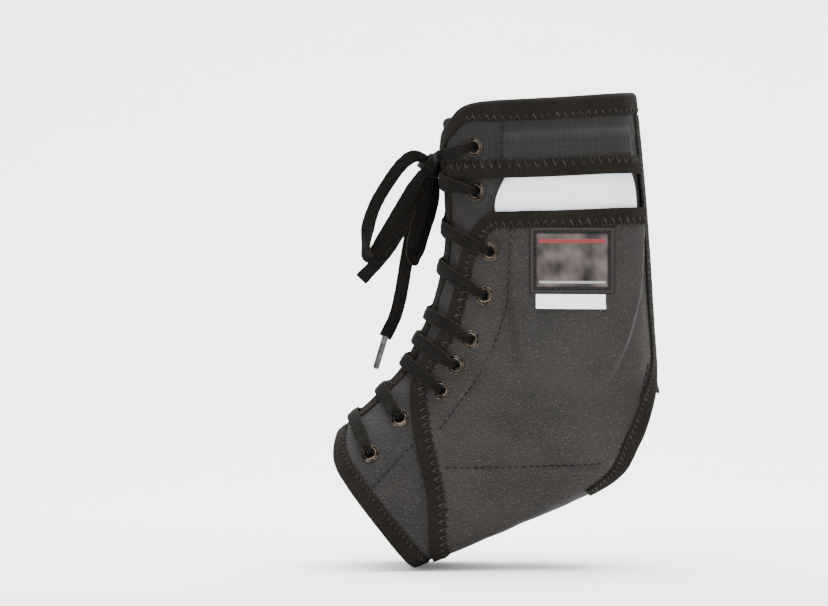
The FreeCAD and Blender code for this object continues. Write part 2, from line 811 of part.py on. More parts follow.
loop_front = [(-50.9, -8.5, 106.9), (-54.0, -10.5, 107.6), (-58.0, -13.5, 106.6), (-63.2, -16.5, 101.6),
              (-69.6, -19.5, 92.0), (-74.4, -21.5, 83.6), (-77.4, -22.5, 74.6), (-78.6, -22.5, 65.8),
              (-78.4, -21.5, 60.6), (-76.9, -19.0, 58.4), (-74.9, -17.0, 60.4), (-69.6, -15.5, 69.6),
              (-61.6, -13.5, 83.0), (-55.4, -11.0, 93.6), (-51.6, -8.2, 99.4)]
loop_back = [(-49.4, 8.6, 97.4), (-50.2, 9.6, 90.6), (-51.6, 10.6, 79.2), (-52.9, 11.0, 67.2),
             (-53.4, 10.6, 59.0), (-54.6, 8.6, 55.4), (-55.9, 6.4, 58.6), (-55.6, 5.4, 66.0),
             (-54.6, 4.8, 78.0), (-52.9, 4.4, 88.0), (-51.4, 4.0, 96.0)]
tail_front = [(-51.8, -4.4, 97.6), (-54.6, -7.2, 90.0), (-59.6, -10.0, 77.2), (-66.2, -12.0, 65.4),
              (-73.0, -13.4, 56.6), (-81.0, -14.4, 48.4)]
tail_back = [(-52.8, -0.4, 96.4), (-54.4, -1.2, 86.0), (-57.8, -2.4, 70.6), (-59.8, -3.2, 56.2),
             (-61.6, -3.6, 43.2), (-64.2, -4.0, 31.6), (-67.6, -4.4, 24.6), (-69.6, -4.6, 20.8)]
tag_end = Vector(-74.4, -5.0, 4.8)


def facing(points, turn):
    """Widths lie square to the path and to a direction that turns along it."""
    line = Part.BSplineCurve()
    line.interpolate([Vector(*p) for p in points])
    a, b = line.FirstParameter, line.LastParameter

    def side_of(u):
        way = line.tangent(a + (b - a) * u)[0]
        look = turn(u)
        side = way.cross(look)
        side.normalize()
        return side
    return side_of


def make_bow():
    out = {}
    look = {
        "lace_loop_front": lambda u: Vector(0.25, -1, 0.1),
        "lace_loop_back": lambda u: Vector(0.2, -1, 0.0),
        "lace_tail_front": lambda u: Vector(0.2, -1, 0.1),
        "lace_tail_back": lambda u: Vector(0.1, -1, 0.0),
    }
    for name, points in (("lace_loop_front", loop_front), ("lace_loop_back", loop_back),
                         ("lace_tail_front", tail_front), ("lace_tail_back", tail_back)):
        out[name], far = strip(points, lace_wide, facing(points, look[name]))
        print(name, "length", round(far, 1))
    start = Vector(*tail_back[-1])
    way = tag_end - start
    way.normalize()
    start = start + way * 0.2
    out["lace_tip"] = Part.makeCylinder(1.5, (tag_end - start).Length, start, way)
    return out


def make_label(x0, z0, x1, z1, low, thick, count=8):
    rows = []
    for k in range(count):
        z = z0 + (z1 - z0) * k / (count - 1)
        rows.append([from_side(x0 + (x1 - x0) * j / (count - 1), z) for j in range(count)])
    return panel(rows, lambda s, t: skin_high(s, t) + low, lambda s, t: skin_high(s, t) + low + thick)


def save(name, solid):
    solid.exportStep("parts/" + name + ".step")
    box = solid.BoundBox
    print(name, "solids", len(solid.Solids), "valid", solid.isValid(), "volume", round(solid.Volume, 1),
          "x %.1f..%.1f y %.1f..%.1f z %.1f..%.1f" % (box.XMin, box.XMax, box.YMin, box.YMax,
                                                     box.ZMin, box.ZMax))


def both(name, solid):
    save(name + "_lateral", solid)
    save(name + "_medial", solid.mirror(Vector(0, 0, 0), Vector(0, 1, 0)))


def edge_high(limit_s):
    """How high the layers under a folded tape reach."""
    def high(s, t):
        over = smooth((limit_s + 4.0 - s) / 3.0)
        return quarter_out + (skin_gap + skin_thick) * over
    return high


both("quarter", make_quarter())
cuff, cuff_low = make_cuff()
both("cuff_band", cuff)
pocket, pocket_f, pocket_t = make_pocket()
both("side_panel", pocket)
both("stay", make_stay())

skin_edge = skin_flat + skin_thick
both("top_binding", binding(curve(rim[:corner + 1], 34, 0.0, tape_gap), 1,
                            lambda u: top_tape - (top_tape - front_tape) * smooth((u - 0.75) / 0.25),
                            quarter_in, skin_edge))
cuff_s = cuff_low[0][0]
both("front_binding", binding(curve(rim[corner:], 70, tape_gap, toe_tape + 1.0), 1, front_tape,
                              quarter_in, edge_high(cuff_s)))
heel_stop = from_side(26.0, -53.5)[0]
back_part = [p for p in back if p[0] < heel_stop]
both("back_binding", binding(curve(back_part, 60, top_tape + 1.5, 0.0), -1, back_tape, quarter_in, skin_edge))
both("toe_binding", binding(curve(toe, 24), 1, toe_tape, quarter_in, quarter_out))
both("cuff_tape", flat_tape(curve(cuff_low, 30, front_tape + 0.5, back_tape + 0.8), 1, cuff_tape, skin_high))
pocket_edge = curve(pocket_t[::-1][:-1] + pocket_f, 76, back_tape + 0.8, 0.0)
both("pocket_tape", flat_tape(pocket_edge, 1, pocket_tape, skin_high))
rings, washers = make_eyelets()
both("eyelets", rings)
both("eyelet_washers", washers)
save("sole_panel", make_sole())
save("achilles_elastic", make_elastic())
save("tongue", make_tongue())
save("tongue_binding", make_tongue_binding())
save("label_patch", make_label(-1.4, 73.0, 37.4, 41.4, flat_gap, 0.4))
save("care_label", make_label(1.6, 41.0, 33.0, 34.2, flat_gap + 0.1, 0.25))

laces = {1: [], -1: []}
for i in range(8, 0, -1):
    for side in (1, -1):
        laces[side].append(rung(i, i - 1, side, (i % 2 == 0) == (side == 1)))
save("lace_rungs_lateral", Part.makeCompound(laces[1]))
save("lace_rungs_medial", Part.makeCompound(laces[-1]))
save("lace_bottom_bar", bottom_bar())
save("lace_top_strands", Part.makeCompound([top_strand(1), top_strand(-1)]))
save("lace_knot", make_knot())
for name, solid in make_bow().items():
    save(name, solid)
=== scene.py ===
import math

import bpy
import numpy as np
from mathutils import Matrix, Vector


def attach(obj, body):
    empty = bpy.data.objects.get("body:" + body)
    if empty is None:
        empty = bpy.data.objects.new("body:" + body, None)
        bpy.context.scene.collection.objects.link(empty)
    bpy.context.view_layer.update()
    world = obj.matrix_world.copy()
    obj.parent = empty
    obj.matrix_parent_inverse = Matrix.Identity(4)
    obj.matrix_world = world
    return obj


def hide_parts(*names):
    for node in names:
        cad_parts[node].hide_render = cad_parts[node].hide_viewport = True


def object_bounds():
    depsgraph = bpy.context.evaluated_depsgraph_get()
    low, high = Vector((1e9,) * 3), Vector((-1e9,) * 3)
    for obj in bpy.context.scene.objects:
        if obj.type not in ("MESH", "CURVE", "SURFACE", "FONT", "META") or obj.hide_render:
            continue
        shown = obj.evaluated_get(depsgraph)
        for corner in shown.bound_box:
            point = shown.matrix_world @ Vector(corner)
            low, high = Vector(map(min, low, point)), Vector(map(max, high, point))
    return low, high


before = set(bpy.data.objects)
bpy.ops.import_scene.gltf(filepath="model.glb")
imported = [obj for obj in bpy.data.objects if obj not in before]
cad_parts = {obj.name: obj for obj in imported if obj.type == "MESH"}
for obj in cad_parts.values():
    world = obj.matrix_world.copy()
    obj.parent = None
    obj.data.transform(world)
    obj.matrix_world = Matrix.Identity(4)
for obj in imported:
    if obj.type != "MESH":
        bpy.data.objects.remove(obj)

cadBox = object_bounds()
mm = 0.001
rng = np.random.default_rng(11)

# ---- camera, light and floor ----

studio = {
    "lensMm": 163.0,
    "distance": 1.8,
    "aimX": -0.0557,
    "aimZ": 0.0372,
    "floorGap": 0.0008,
    "backdropFar": 0.9,
    "backdropBend": 0.35,
    "backdropWide": 3.2,
    "backdropFront": 2.6,
}


def toLinear(hexColour):
    # sRGB hex to the linear values that shaders use
    parts = [int(hexColour[i:i + 2], 16) / 255 for i in (1, 3, 5)]
    return tuple(c / 12.92 if c <= 0.04045 else ((c + 0.055) / 1.055) ** 2.4 for c in parts) + (1.0,)


def addNode(tree, kind, settings=None, links=None):
    # adds one node: settings are attributes, or inputs by name or number; links are input to output
    node = tree.nodes.new("ShaderNode" + kind)
    for key, value in (settings or {}).items():
        if isinstance(key, int) or key in node.inputs:
            node.inputs[key].default_value = value
        else:
            setattr(node, key, value)
    for key, output in (links or {}).items():
        tree.links.new(output, node.inputs[key])
    return node


def newMaterial(name):
    made = bpy.data.materials.new(name)
    made.use_nodes = True
    made.node_tree.nodes.clear()
    return made, made.node_tree


def setStudio():
    cam = bpy.data.cameras.new("studioCamera")
    cam.lens = studio["lensMm"]
    cam.sensor_width = 36.0
    cam.clip_end = 20.0
    camObject = bpy.data.objects.new("studioCamera", cam)
    camObject.location = (studio["aimX"], -studio["distance"], studio["aimZ"])
    camObject.rotation_euler = (math.pi / 2, 0, 0)
    bpy.context.collection.objects.link(camObject)
    bpy.context.scene.camera = camObject

    # a pale sweep: floor, bend and wall in one sheet
    floorZ = cadBox[0][2] - studio["floorGap"]
    bend = studio["backdropBend"]
    far = studio["backdropFar"]
    profile = [(-studio["backdropFront"], floorZ), (far - bend, floorZ)]
    for k in range(1, 13):
        a = math.pi / 2 * k / 12
        profile.append((far - bend + bend * math.sin(a), floorZ + bend * (1 - math.cos(a))))
    profile.append((far, floorZ + 2.4))
    wide = studio["backdropWide"]
    verts = [(x, y, z) for y, z in profile for x in (-wide, wide)]
    faces = [(2 * i, 2 * i + 1, 2 * i + 3, 2 * i + 2) for i in range(len(profile) - 1)]
    mesh = bpy.data.meshes.new("paperSweep")
    mesh.from_pydata(verts, [], faces)
    mesh.polygons.foreach_set("use_smooth", [True] * len(faces))
    sweep = bpy.data.objects.new("paperSweep", mesh)
    bpy.context.collection.objects.link(sweep)
    paper, tree = newMaterial("studioPaper")
    shader = addNode(tree, "BsdfPrincipled", {"Base Color": toLinear("#FBFBFA"), "Roughness": 0.9})
    addNode(tree, "OutputMaterial", links={"Surface": shader.outputs[0]})
    mesh.materials.append(paper)

    # soft boxes: name, place, size, power
    lights = [("keyBox", (-0.9, -1.5, 1.3), (0, 0, 0.02), 1.1, 21.0),
              ("fillBox", (1.2, -1.5, 0.7), (0, 0, 0.02), 1.2, 11.5),
              ("topBox", (0.0, 0.1, 1.6), (0, 0, 0.02), 1.4, 11.0),
              ("lowBox", (0.1, -1.1, -0.05), (0, 0, -0.03), 0.7, 7.0),
              ("wallBox", (0.0, 0.3, 1.3), (0.0, 0.9, 0.0), 1.6, 75.0)]
    for name, place, aim, size, power in lights:
        light = bpy.data.lights.new(name, "AREA")
        light.size = size
        light.energy = power
        lamp = bpy.data.objects.new(name, light)
        lamp.location = place
        lamp.rotation_euler = (Vector(aim) - Vector(place)).to_track_quat("-Z", "Y").to_euler()
        bpy.context.collection.objects.link(lamp)
    world = bpy.data.worlds.new("studioAir")
    world.use_nodes = True
    world.node_tree.nodes["Background"].inputs[0].default_value = toLinear("#F2F4F6")
    world.node_tree.nodes["Background"].inputs[1].default_value = 0.7
    bpy.context.scene.world = world


setStudio()
print("studio set")

# ---- the brace's outline ----
# All lengths from here on are in mm and turn to metres when a mesh is made.

outline = {
    # front x and z, back x and z, half width, roundness in front and behind
    "sections": [
        (-44.2, 131.0, 50.0, 141.0, 38.0, 2.6, 2.3), (-42.6, 86.4, 55.2, 86.4, 38.0, 2.6, 2.3),
        (-42.2, 67.2, 56.6, 67.2, 38.3, 2.6, 2.3), (-48.2, 38.4, 58.6, 38.4, 39.0, 2.5, 2.2),
        (-55.6, 21.6, 64.2, -8.0, 41.0, 2.4, 2.2), (-62.6, 9.6, 68.0, -30.0, 38.0, 2.3, 2.4),
        (-69.4, 1.0, 48.0, -45.9, 36.0, 2.3, 3.2), (-78.6, -9.0, 10.0, -61.7, 36.5, 2.2, 5.0),
        (-86.0, -16.4, -20.0, -74.2, 38.5, 2.2, 5.0), (-94.0, -24.6, -48.0, -85.9, 40.0, 2.2, 5.0),
        (-104.0, -37.0, -64.0, -92.5, 40.0, 2.2, 5.0)],
    "top": 131.0,
    "halfGap": 15.0,
    "toeHalfGap": 11.0,
    "achillesHalf": 10.0,
    "soleHalf": 22.0,
}
layers = {
    "quarterIn": -3.0, "quarterOut": -0.8, "skinFlat": -0.65, "skinThick": 0.8, "skinGap": 0.15,
    "tongueOut": -6.2, "tongueThick": 3.0, "tapeThick": 0.8, "tapeGap": 0.15, "foldGap": 0.3,
}
tapes = {"top": 7.0, "front": 5.0, "back": 6.0, "toe": 6.0, "cuff": 7.6, "pocket": 7.0}
eyelets = {
    "spots": [(-27.2, 110.7), (-26.6, 89.9), (-19.7, 61.4), (-22.3, 40.6), (-28.9, 19.9),
              (-35.9, 8.0), (-42.9, -4.0), (-62.5, -17.0), (-76.7, -33.5)],
    "covered": [1, 0, 1, 1, 1, 1, 1, 0, 0],
    "hole": 2.4, "rim": 4.4,
}


def naturalSpline(xs, ys):
    # a smooth curve through the points; ys may hold several channels
    xs = np.array(xs, float)
    ys = np.array(ys, float)
    n = len(xs)
    h = np.diff(xs)
    a = np.eye(n)
    rhs = np.zeros_like(ys)
    for i in range(1, n - 1):
        a[i, i - 1], a[i, i], a[i, i + 1] = h[i - 1], 2 * (h[i - 1] + h[i]), h[i]
        rhs[i] = 3 * ((ys[i + 1] - ys[i]) / h[i] - (ys[i] - ys[i - 1]) / h[i - 1])
    c = np.linalg.solve(a, rhs)

    def at(x):
        x = np.asarray(x, float)
        i = np.clip(np.searchsorted(xs, x, side="right") - 1, 0, n - 2)
        d = x - xs[i]
        span = h[i]
        if ys.ndim > 1:
            d, span = d[..., None], span[..., None]
        b = (ys[i + 1] - ys[i]) / span - span * (c[i + 1] + 2 * c[i]) / 3
        return ys[i] + d * (b + d * (c[i] + d * (c[i + 1] - c[i]) / (3 * span)))
    return at


def smooth(x):
    x = np.clip(x, 0.0, 1.0)
    return x * x * (3 - 2 * x)


sectionRows = np.array(outline["sections"])
steps = (np.hypot(*np.diff(sectionRows[:, 0:2], axis=0).T) + np.hypot(*np.diff(sectionRows[:, 2:4],
                                                                               axis=0).T)) / 2
fan = np.concatenate([[0.0], np.cumsum(steps)])
sectionAt = naturalSpline(fan, sectionRows)


def unit(v):
    return v / np.maximum(np.linalg.norm(v, axis=-1, keepdims=True), 1e-12)


def skin(s, t):
    # a point of the outline: s runs down the fan, t is 0 in front and 1 behind, below 0 on the inner side
    fx, fz, bx, bz, w, nf, nb = np.moveaxis(sectionAt(s), -1, 0)
    angle = math.pi * np.abs(t)
    n = np.where(np.abs(t) < 0.5, nf, nb)
    r = (np.abs(np.cos(angle)) ** n + np.abs(np.sin(angle)) ** n) ** (-1 / n)
    a = r * np.cos(angle)
    y = w * r * np.sin(angle) * np.where(np.asarray(t) > 0, -1, 1)
    return np.stack([(fx + bx) / 2 + (fx - bx) / 2 * a, y, (fz + bz) / 2 + (fz - bz) / 2 * a], -1)


def slopes(s, t):
    e, f = 0.4, 0.002
    return (skin(s + e, t) - skin(s - e, t)) / (2 * e), (skin(s, t + f) - skin(s, t - f)) / (2 * f)


def normals(s, t):
    ds, dt = slopes(s, t)
    n = unit(np.cross(ds, dt))
    rows = sectionAt(s)
    mid = np.stack([(rows[..., 0] + rows[..., 2]) / 2, np.zeros(np.shape(s)),
                    (rows[..., 1] + rows[..., 3]) / 2], -1)
    return np.where(np.sum(n * (skin(s, t) - mid), -1, keepdims=True) < 0, -n, n)


def lift(s, t, d):
    return skin(s, t) + normals(s, t) * np.asarray(d)[..., None]


def fromSide(x, z):
    # the place on the outer side that is seen at x, z
    x, z = np.asarray(x, float), np.asarray(z, float)
    lo, hi = np.zeros(np.shape(x)), np.full(np.shape(x), fan[-1])
    for _ in range(40):
        mid = (lo + hi) / 2
        rows = sectionAt(mid)
        cross = ((rows[..., 2] - rows[..., 0]) * (z - rows[..., 1])
                 - (rows[..., 3] - rows[..., 1]) * (x - rows[..., 0]))
        lo, hi = np.where(cross < 0, mid, lo), np.where(cross < 0, hi, mid)
    fx, fz, bx, bz, w, nf, nb = np.moveaxis(sectionAt(lo), -1, 0)
    a = 1 - 2 * ((x - fx) * (bx - fx) + (z - fz) * (bz - fz)) / ((bx - fx) ** 2 + (bz - fz) ** 2)
    a = np.clip(a, -0.9985, 0.9985)
    n = np.where(a > 0, nf, nb)
    b = (1 - np.abs(a) ** n) ** (1 / n)
    return np.stack([lo, np.arctan2(b, a) / math.pi], -1)


def fromWidth(s, y, behind):
    # the place on section s that is y from the middle plane, in front or behind
    rows = sectionAt(np.asarray(s, float))
    n = rows[..., 6] if behind else rows[..., 5]
    b = np.minimum(0.999, y / rows[..., 4])
    a = (1 - b ** n) ** (1 / n)
    return np.stack([np.asarray(s, float), np.arctan2(b, -a if behind else a) / math.pi], -1)


def walk(line, way, far):
    # moves the points along the outline in the directions given
    s, t = np.array(line[..., 0]), np.array(line[..., 1])
    count = max(1, int(np.max(np.abs(far)) / 2) + 1)
    for _ in range(count):
        ds, dt = slopes(s, t)
        p, q, r = np.sum(ds * ds, -1), np.sum(ds * dt, -1), np.sum(dt * dt, -1)
        u, v = np.sum(way * ds, -1), np.sum(way * dt, -1)
        k = p * r - q * q
        s = s + (u * r - v * q) / k * far / count
        t = t + (v * p - u * q) / k * far / count
    return np.stack([s, t], -1)


def runs(points):
    return np.concatenate([[0.0], np.cumsum(np.linalg.norm(np.diff(points, axis=0), axis=1))])


def evenLine(points, count, skip=0.0, leave=0.0):
    # the line through the places, as evenly spaced ones, cut short by skip and leave
    points = np.array(points, float)
    far = runs(skin(points[:, 0], points[:, 1]))
    return naturalSpline(far, points)(np.linspace(skip, far[-1] - leave, count))


def lengthOf(line):
    return runs(skin(line[:, 0], line[:, 1]))[-1]


def inwardOf(line, side):
    # unit directions square to the line, in the outline's surface
    p = skin(line[:, 0], line[:, 1])
    return unit(np.cross(normals(line[:, 0], line[:, 1]), unit(np.gradient(p, axis=0)))) * side


def wobble(u, v, period, seed, count=7):
    # smooth seeded noise, about -1 to 1
    made = np.random.default_rng(seed)
    total = 0.0
    for _ in range(count):
        a = made.uniform(0, 2 * math.pi)
        k = 2 * math.pi / (period * made.uniform(0.6, 1.7))
        total = total + np.sin((u * math.cos(a) + v * math.sin(a)) * k + made.uniform(0, 6.28))
    return total / count * 1.6


def blendRows(front, back, top, bottom):
    # places that follow all four edges of a panel
    u = np.linspace(0, 1, len(front))[:, None, None]
    v = np.linspace(0, 1, len(top))[None, :, None]
    front, back = front[:, None], back[:, None]
    top, bottom = top[None], bottom[None]
    corners = (front[:1] * (1 - v) + back[:1] * v) * (1 - u) + (front[-1:] * (1 - v) + back[-1:] * v) * u
    return front * (1 - v) + back * v + top * (1 - u) + bottom * u - corners


# ---- mesh makers ----

def borderLoop(m, n):
    # the border points of a grid, once round
    loop = list(range(n)) + [i * n + n - 1 for i in range(1, m)]
    loop += [(m - 1) * n + j for j in range(n - 2, -1, -1)] + [i * n for i in range(m - 2, 0, -1)]
    return np.array(loop)


def shell(outer, inner, rounds):
    # a closed skin between two grids of points, with its border rounded
    m, n = outer.shape[:2]
    loop = borderLoop(m, n)
    a, b = outer.reshape(-1, 3), inner.reshape(-1, 3)
    oa, ib = a[loop], b[loop]
    mid, half = (oa + ib) / 2, (oa - ib) / 2
    along = unit(np.roll(mid, -1, axis=0) - np.roll(mid, 1, axis=0))
    out = unit(np.cross(along, half))
    centre = (outer + inner).reshape(-1, 3)[loop] / 2
    i, j = loop // n, loop % n
    inside = np.clip(i, 1, m - 2) * n + np.clip(j, 1, n - 2)
    toward = (a[inside] + b[inside]) / 2 - centre
    out = np.where(np.sum(out * toward, -1, keepdims=True) > 0, -out, out)
    deep = np.linalg.norm(half, axis=-1, keepdims=True)
    count = len(loop)
    verts = [a, b]
    rings = [loop]
    at = 2 * m * n
    for k in range(1, rounds):
        angle = math.pi * k / rounds
        verts.append(mid + half * math.cos(angle) + out * deep * math.sin(angle))
        rings.append(at + np.arange(count))
        at += count
    rings.append(m * n + loop)
    grid = np.arange(m * n).reshape(m, n)
    top = np.stack([grid[:-1, :-1], grid[:-1, 1:], grid[1:, 1:], grid[1:, :-1]], -1).reshape(-1, 4)
    low = top[:, ::-1] + m * n
    faces = [top, low]
    for one, two in zip(rings, rings[1:]):
        faces.append(np.stack([one, two, np.roll(two, -1), np.roll(one, -1)], -1))
    verts = np.concatenate(verts)
    return verts, np.concatenate(faces)


def turnedOut(verts, faces):
    # all faces the other way round where the solid is inside out
    p = verts[faces]
    inner = np.einsum("ij,ij->i", p[:, 0], np.cross(p[:, 1], p[:, 2]) + np.cross(p[:, 2], p[:, 3]))
    return faces if inner.sum() > 0 else faces[:, ::-1]


def spread(values, rounds):
    # per-vertex values of a shell, given on its grid
    m, n = values.shape[:2]
    flat = values.reshape(m * n, -1)
    return np.concatenate([flat, flat] + [flat[borderLoop(m, n)]] * (rounds - 1))


def sheetMesh(outer, inner, weave, rounds=4, **more):
    # a shell with its cloth coordinates and any other values
    verts, faces = shell(outer, inner, rounds)
    values = {"weave": weave, **more}
    return verts, turnedOut(verts, faces), {key: spread(values[key], rounds) for key in values}


def closedTube(m, around):
    # faces of a tube of m rings, with both ends closed
    index = np.arange(m * around).reshape(m, around)
    nxt = np.roll(index, -1, axis=1)
    walls = np.stack([index[:-1], nxt[:-1], nxt[1:], index[1:]], -1).reshape(-1, 4)
    caps = []
    for k in range(around // 2 - 1):
        caps.append([index[0, k], index[0, around - 1 - k], index[0, around - 2 - k], index[0, k + 1]])
        caps.append([index[-1, k], index[-1, k + 1], index[-1, around - 2 - k], index[-1, around - 1 - k]])
    return np.concatenate([walls, np.array(caps)])


def addMesh(name, made, material, body, nodes=(), sharp=60.0):
    # made is points, faces and values for each point
    verts, faces, attributes = made
    mesh = bpy.data.meshes.new(name)
    verts = np.asarray(verts, float)
    faces = np.asarray(faces)
    mesh.vertices.add(len(verts))
    mesh.vertices.foreach_set("co", (verts * mm).ravel())
    wide = faces.shape[1]
    mesh.loops.add(len(faces) * wide)
    mesh.loops.foreach_set("vertex_index", faces.ravel().astype(np.int32))
    mesh.polygons.add(len(faces))
    mesh.polygons.foreach_set("loop_start", np.arange(len(faces), dtype=np.int32) * wide)
    mesh.update(calc_edges=True)
    for key, values in attributes.items():
        values = np.asarray(values, float)
        if values.ndim == 2 and values.shape[1] == 1:
            values = values[:, 0]
        if values.ndim == 2:
            mesh.attributes.new(key, "FLOAT_VECTOR", "POINT").data.foreach_set("vector", values.ravel())
        else:
            mesh.attributes.new(key, "FLOAT", "POINT").data.foreach_set("value", values)
    mesh.validate()
    mesh.polygons.foreach_set("use_smooth", [True] * len(mesh.polygons))
    mesh.set_sharp_from_angle(angle=math.radians(sharp))
    mesh.materials.append(material)
    piece = bpy.data.objects.new(name, mesh)
    bpy.context.collection.objects.link(piece)
    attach(piece, body)
    if nodes:
        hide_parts(*nodes)
    return piece


def addPair(name, made, material, node=None, bodies=("brace", "brace"), sharp=60.0):
    # the outer piece and its mirrored twin on the inner side
    verts, faces, attributes = made
    for side, body, flip in (("lateral", bodies[0], 1), ("medial", bodies[1], -1)):
        nodes = [node + "_" + side] if node else []
        addMesh(name + "_" + side, (verts * (1, flip, 1), faces[:, ::flip], attributes), material, body,
                nodes, sharp)


tableS = np.linspace(-8, fan[-1] + 8, 90)
tableT = np.linspace(-1.0, 1.0, 481)
tableP = skin(tableS[:, None] + 0 * tableT, tableT[None] + 0 * tableS[:, None])
tableRun = np.concatenate([np.zeros((90, 1)), np.cumsum(np.linalg.norm(np.diff(tableP, axis=1), axis=-1),
                                                        1)], 1)
tableRun -= tableRun[:, 240:241]


def weaveAt(s, t):
    # cloth coordinates in mm: round the leg from the front, and down the fan
    fs = np.clip((s - tableS[0]) / (tableS[1] - tableS[0]), 0, 88.999)
    ft = np.clip((t - tableT[0]) / (tableT[1] - tableT[0]), 0, 479.999)
    i, j = fs.astype(int), ft.astype(int)
    a, b = fs - i, ft - j
    run = ((tableRun[i, j] * (1 - a) + tableRun[i + 1, j] * a) * (1 - b)
           + (tableRun[i, j + 1] * (1 - a) + tableRun[i + 1, j + 1] * a) * b)
    return np.stack([run, s, 0 * s], -1)


def panelShell(rows, low, high, rounds=4):
    # rows of places with two offsets, as a closed shell and its cloth coordinates
    s, t = rows[..., 0], rows[..., 1]
    p, n = skin(s, t), normals(s, t)
    outer = p + n * (high + 0 * s)[..., None]
    inner = p + n * (low + 0 * s)[..., None]
    return sheetMesh(outer, inner, weaveAt(s, t), rounds)


def tubes(lines, radius, sides=6):
    # thin closed tubes along several lines of the same number of points
    lines = np.asarray(lines, float)
    count, m = lines.shape[:2]
    along = unit(np.gradient(lines, axis=1))
    up = unit(np.cross(along, np.array([0.31, 0.17, 0.93])))
    side = np.cross(along, up)
    rad = np.full(m, float(radius))
    rad[0] = rad[-1] = radius * 0.35
    ring = np.stack([lines + (up * math.cos(a) + side * math.sin(a)) * rad[None, :, None]
                     for a in np.arange(sides) * 2 * math.pi / sides], 2)
    index = np.arange(count * m * sides).reshape(count, m, sides)
    nxt = np.roll(index, -1, axis=2)
    walls = np.stack([index[:, :-1], nxt[:, :-1], nxt[:, 1:], index[:, 1:]], -1).reshape(-1, 4)
    caps = []
    for k in range(sides // 2 - 1):
        caps.append(np.stack([index[:, 0, 0], index[:, 0, 2 * k + 3 if 2 * k + 3 < sides else 0],
                              index[:, 0, 2 * k + 2], index[:, 0, 2 * k + 1]], -1))
        caps.append(np.stack([index[:, -1, 0], index[:, -1, 2 * k + 1], index[:, -1, 2 * k + 2],
                              index[:, -1, 2 * k + 3 if 2 * k + 3 < sides else 0]], -1))
    return ring.reshape(-1, 3), np.concatenate([walls] + caps)


def bsplineThrough(control, count):
    # a clamped cubic spline drawn by the control rows
    control = np.asarray(control, float)
    n = len(control)
    knots = np.concatenate([[0] * 3, np.arange(n - 2), [n - 3] * 3]).astype(float)
    u = np.linspace(0, n - 3 - 1e-9, count)
    basis = np.zeros((count, len(knots) - 1))
    basis[np.arange(count), np.searchsorted(knots, u, side="right") - 1] = 1
    for d in range(1, 4):
        nxt = np.zeros((count, len(knots) - 1 - d))
        for i in range(len(knots) - 1 - d):
            a, b = knots[i + d] - knots[i], knots[i + d + 1] - knots[i + 1]
            if a > 0:
                nxt[:, i] += (u - knots[i]) / a * basis[:, i]
            if b > 0:
                nxt[:, i] += (knots[i + d + 1] - u) / b * basis[:, i + 1]
        basis = nxt
    return basis @ control


# ---- materials ----

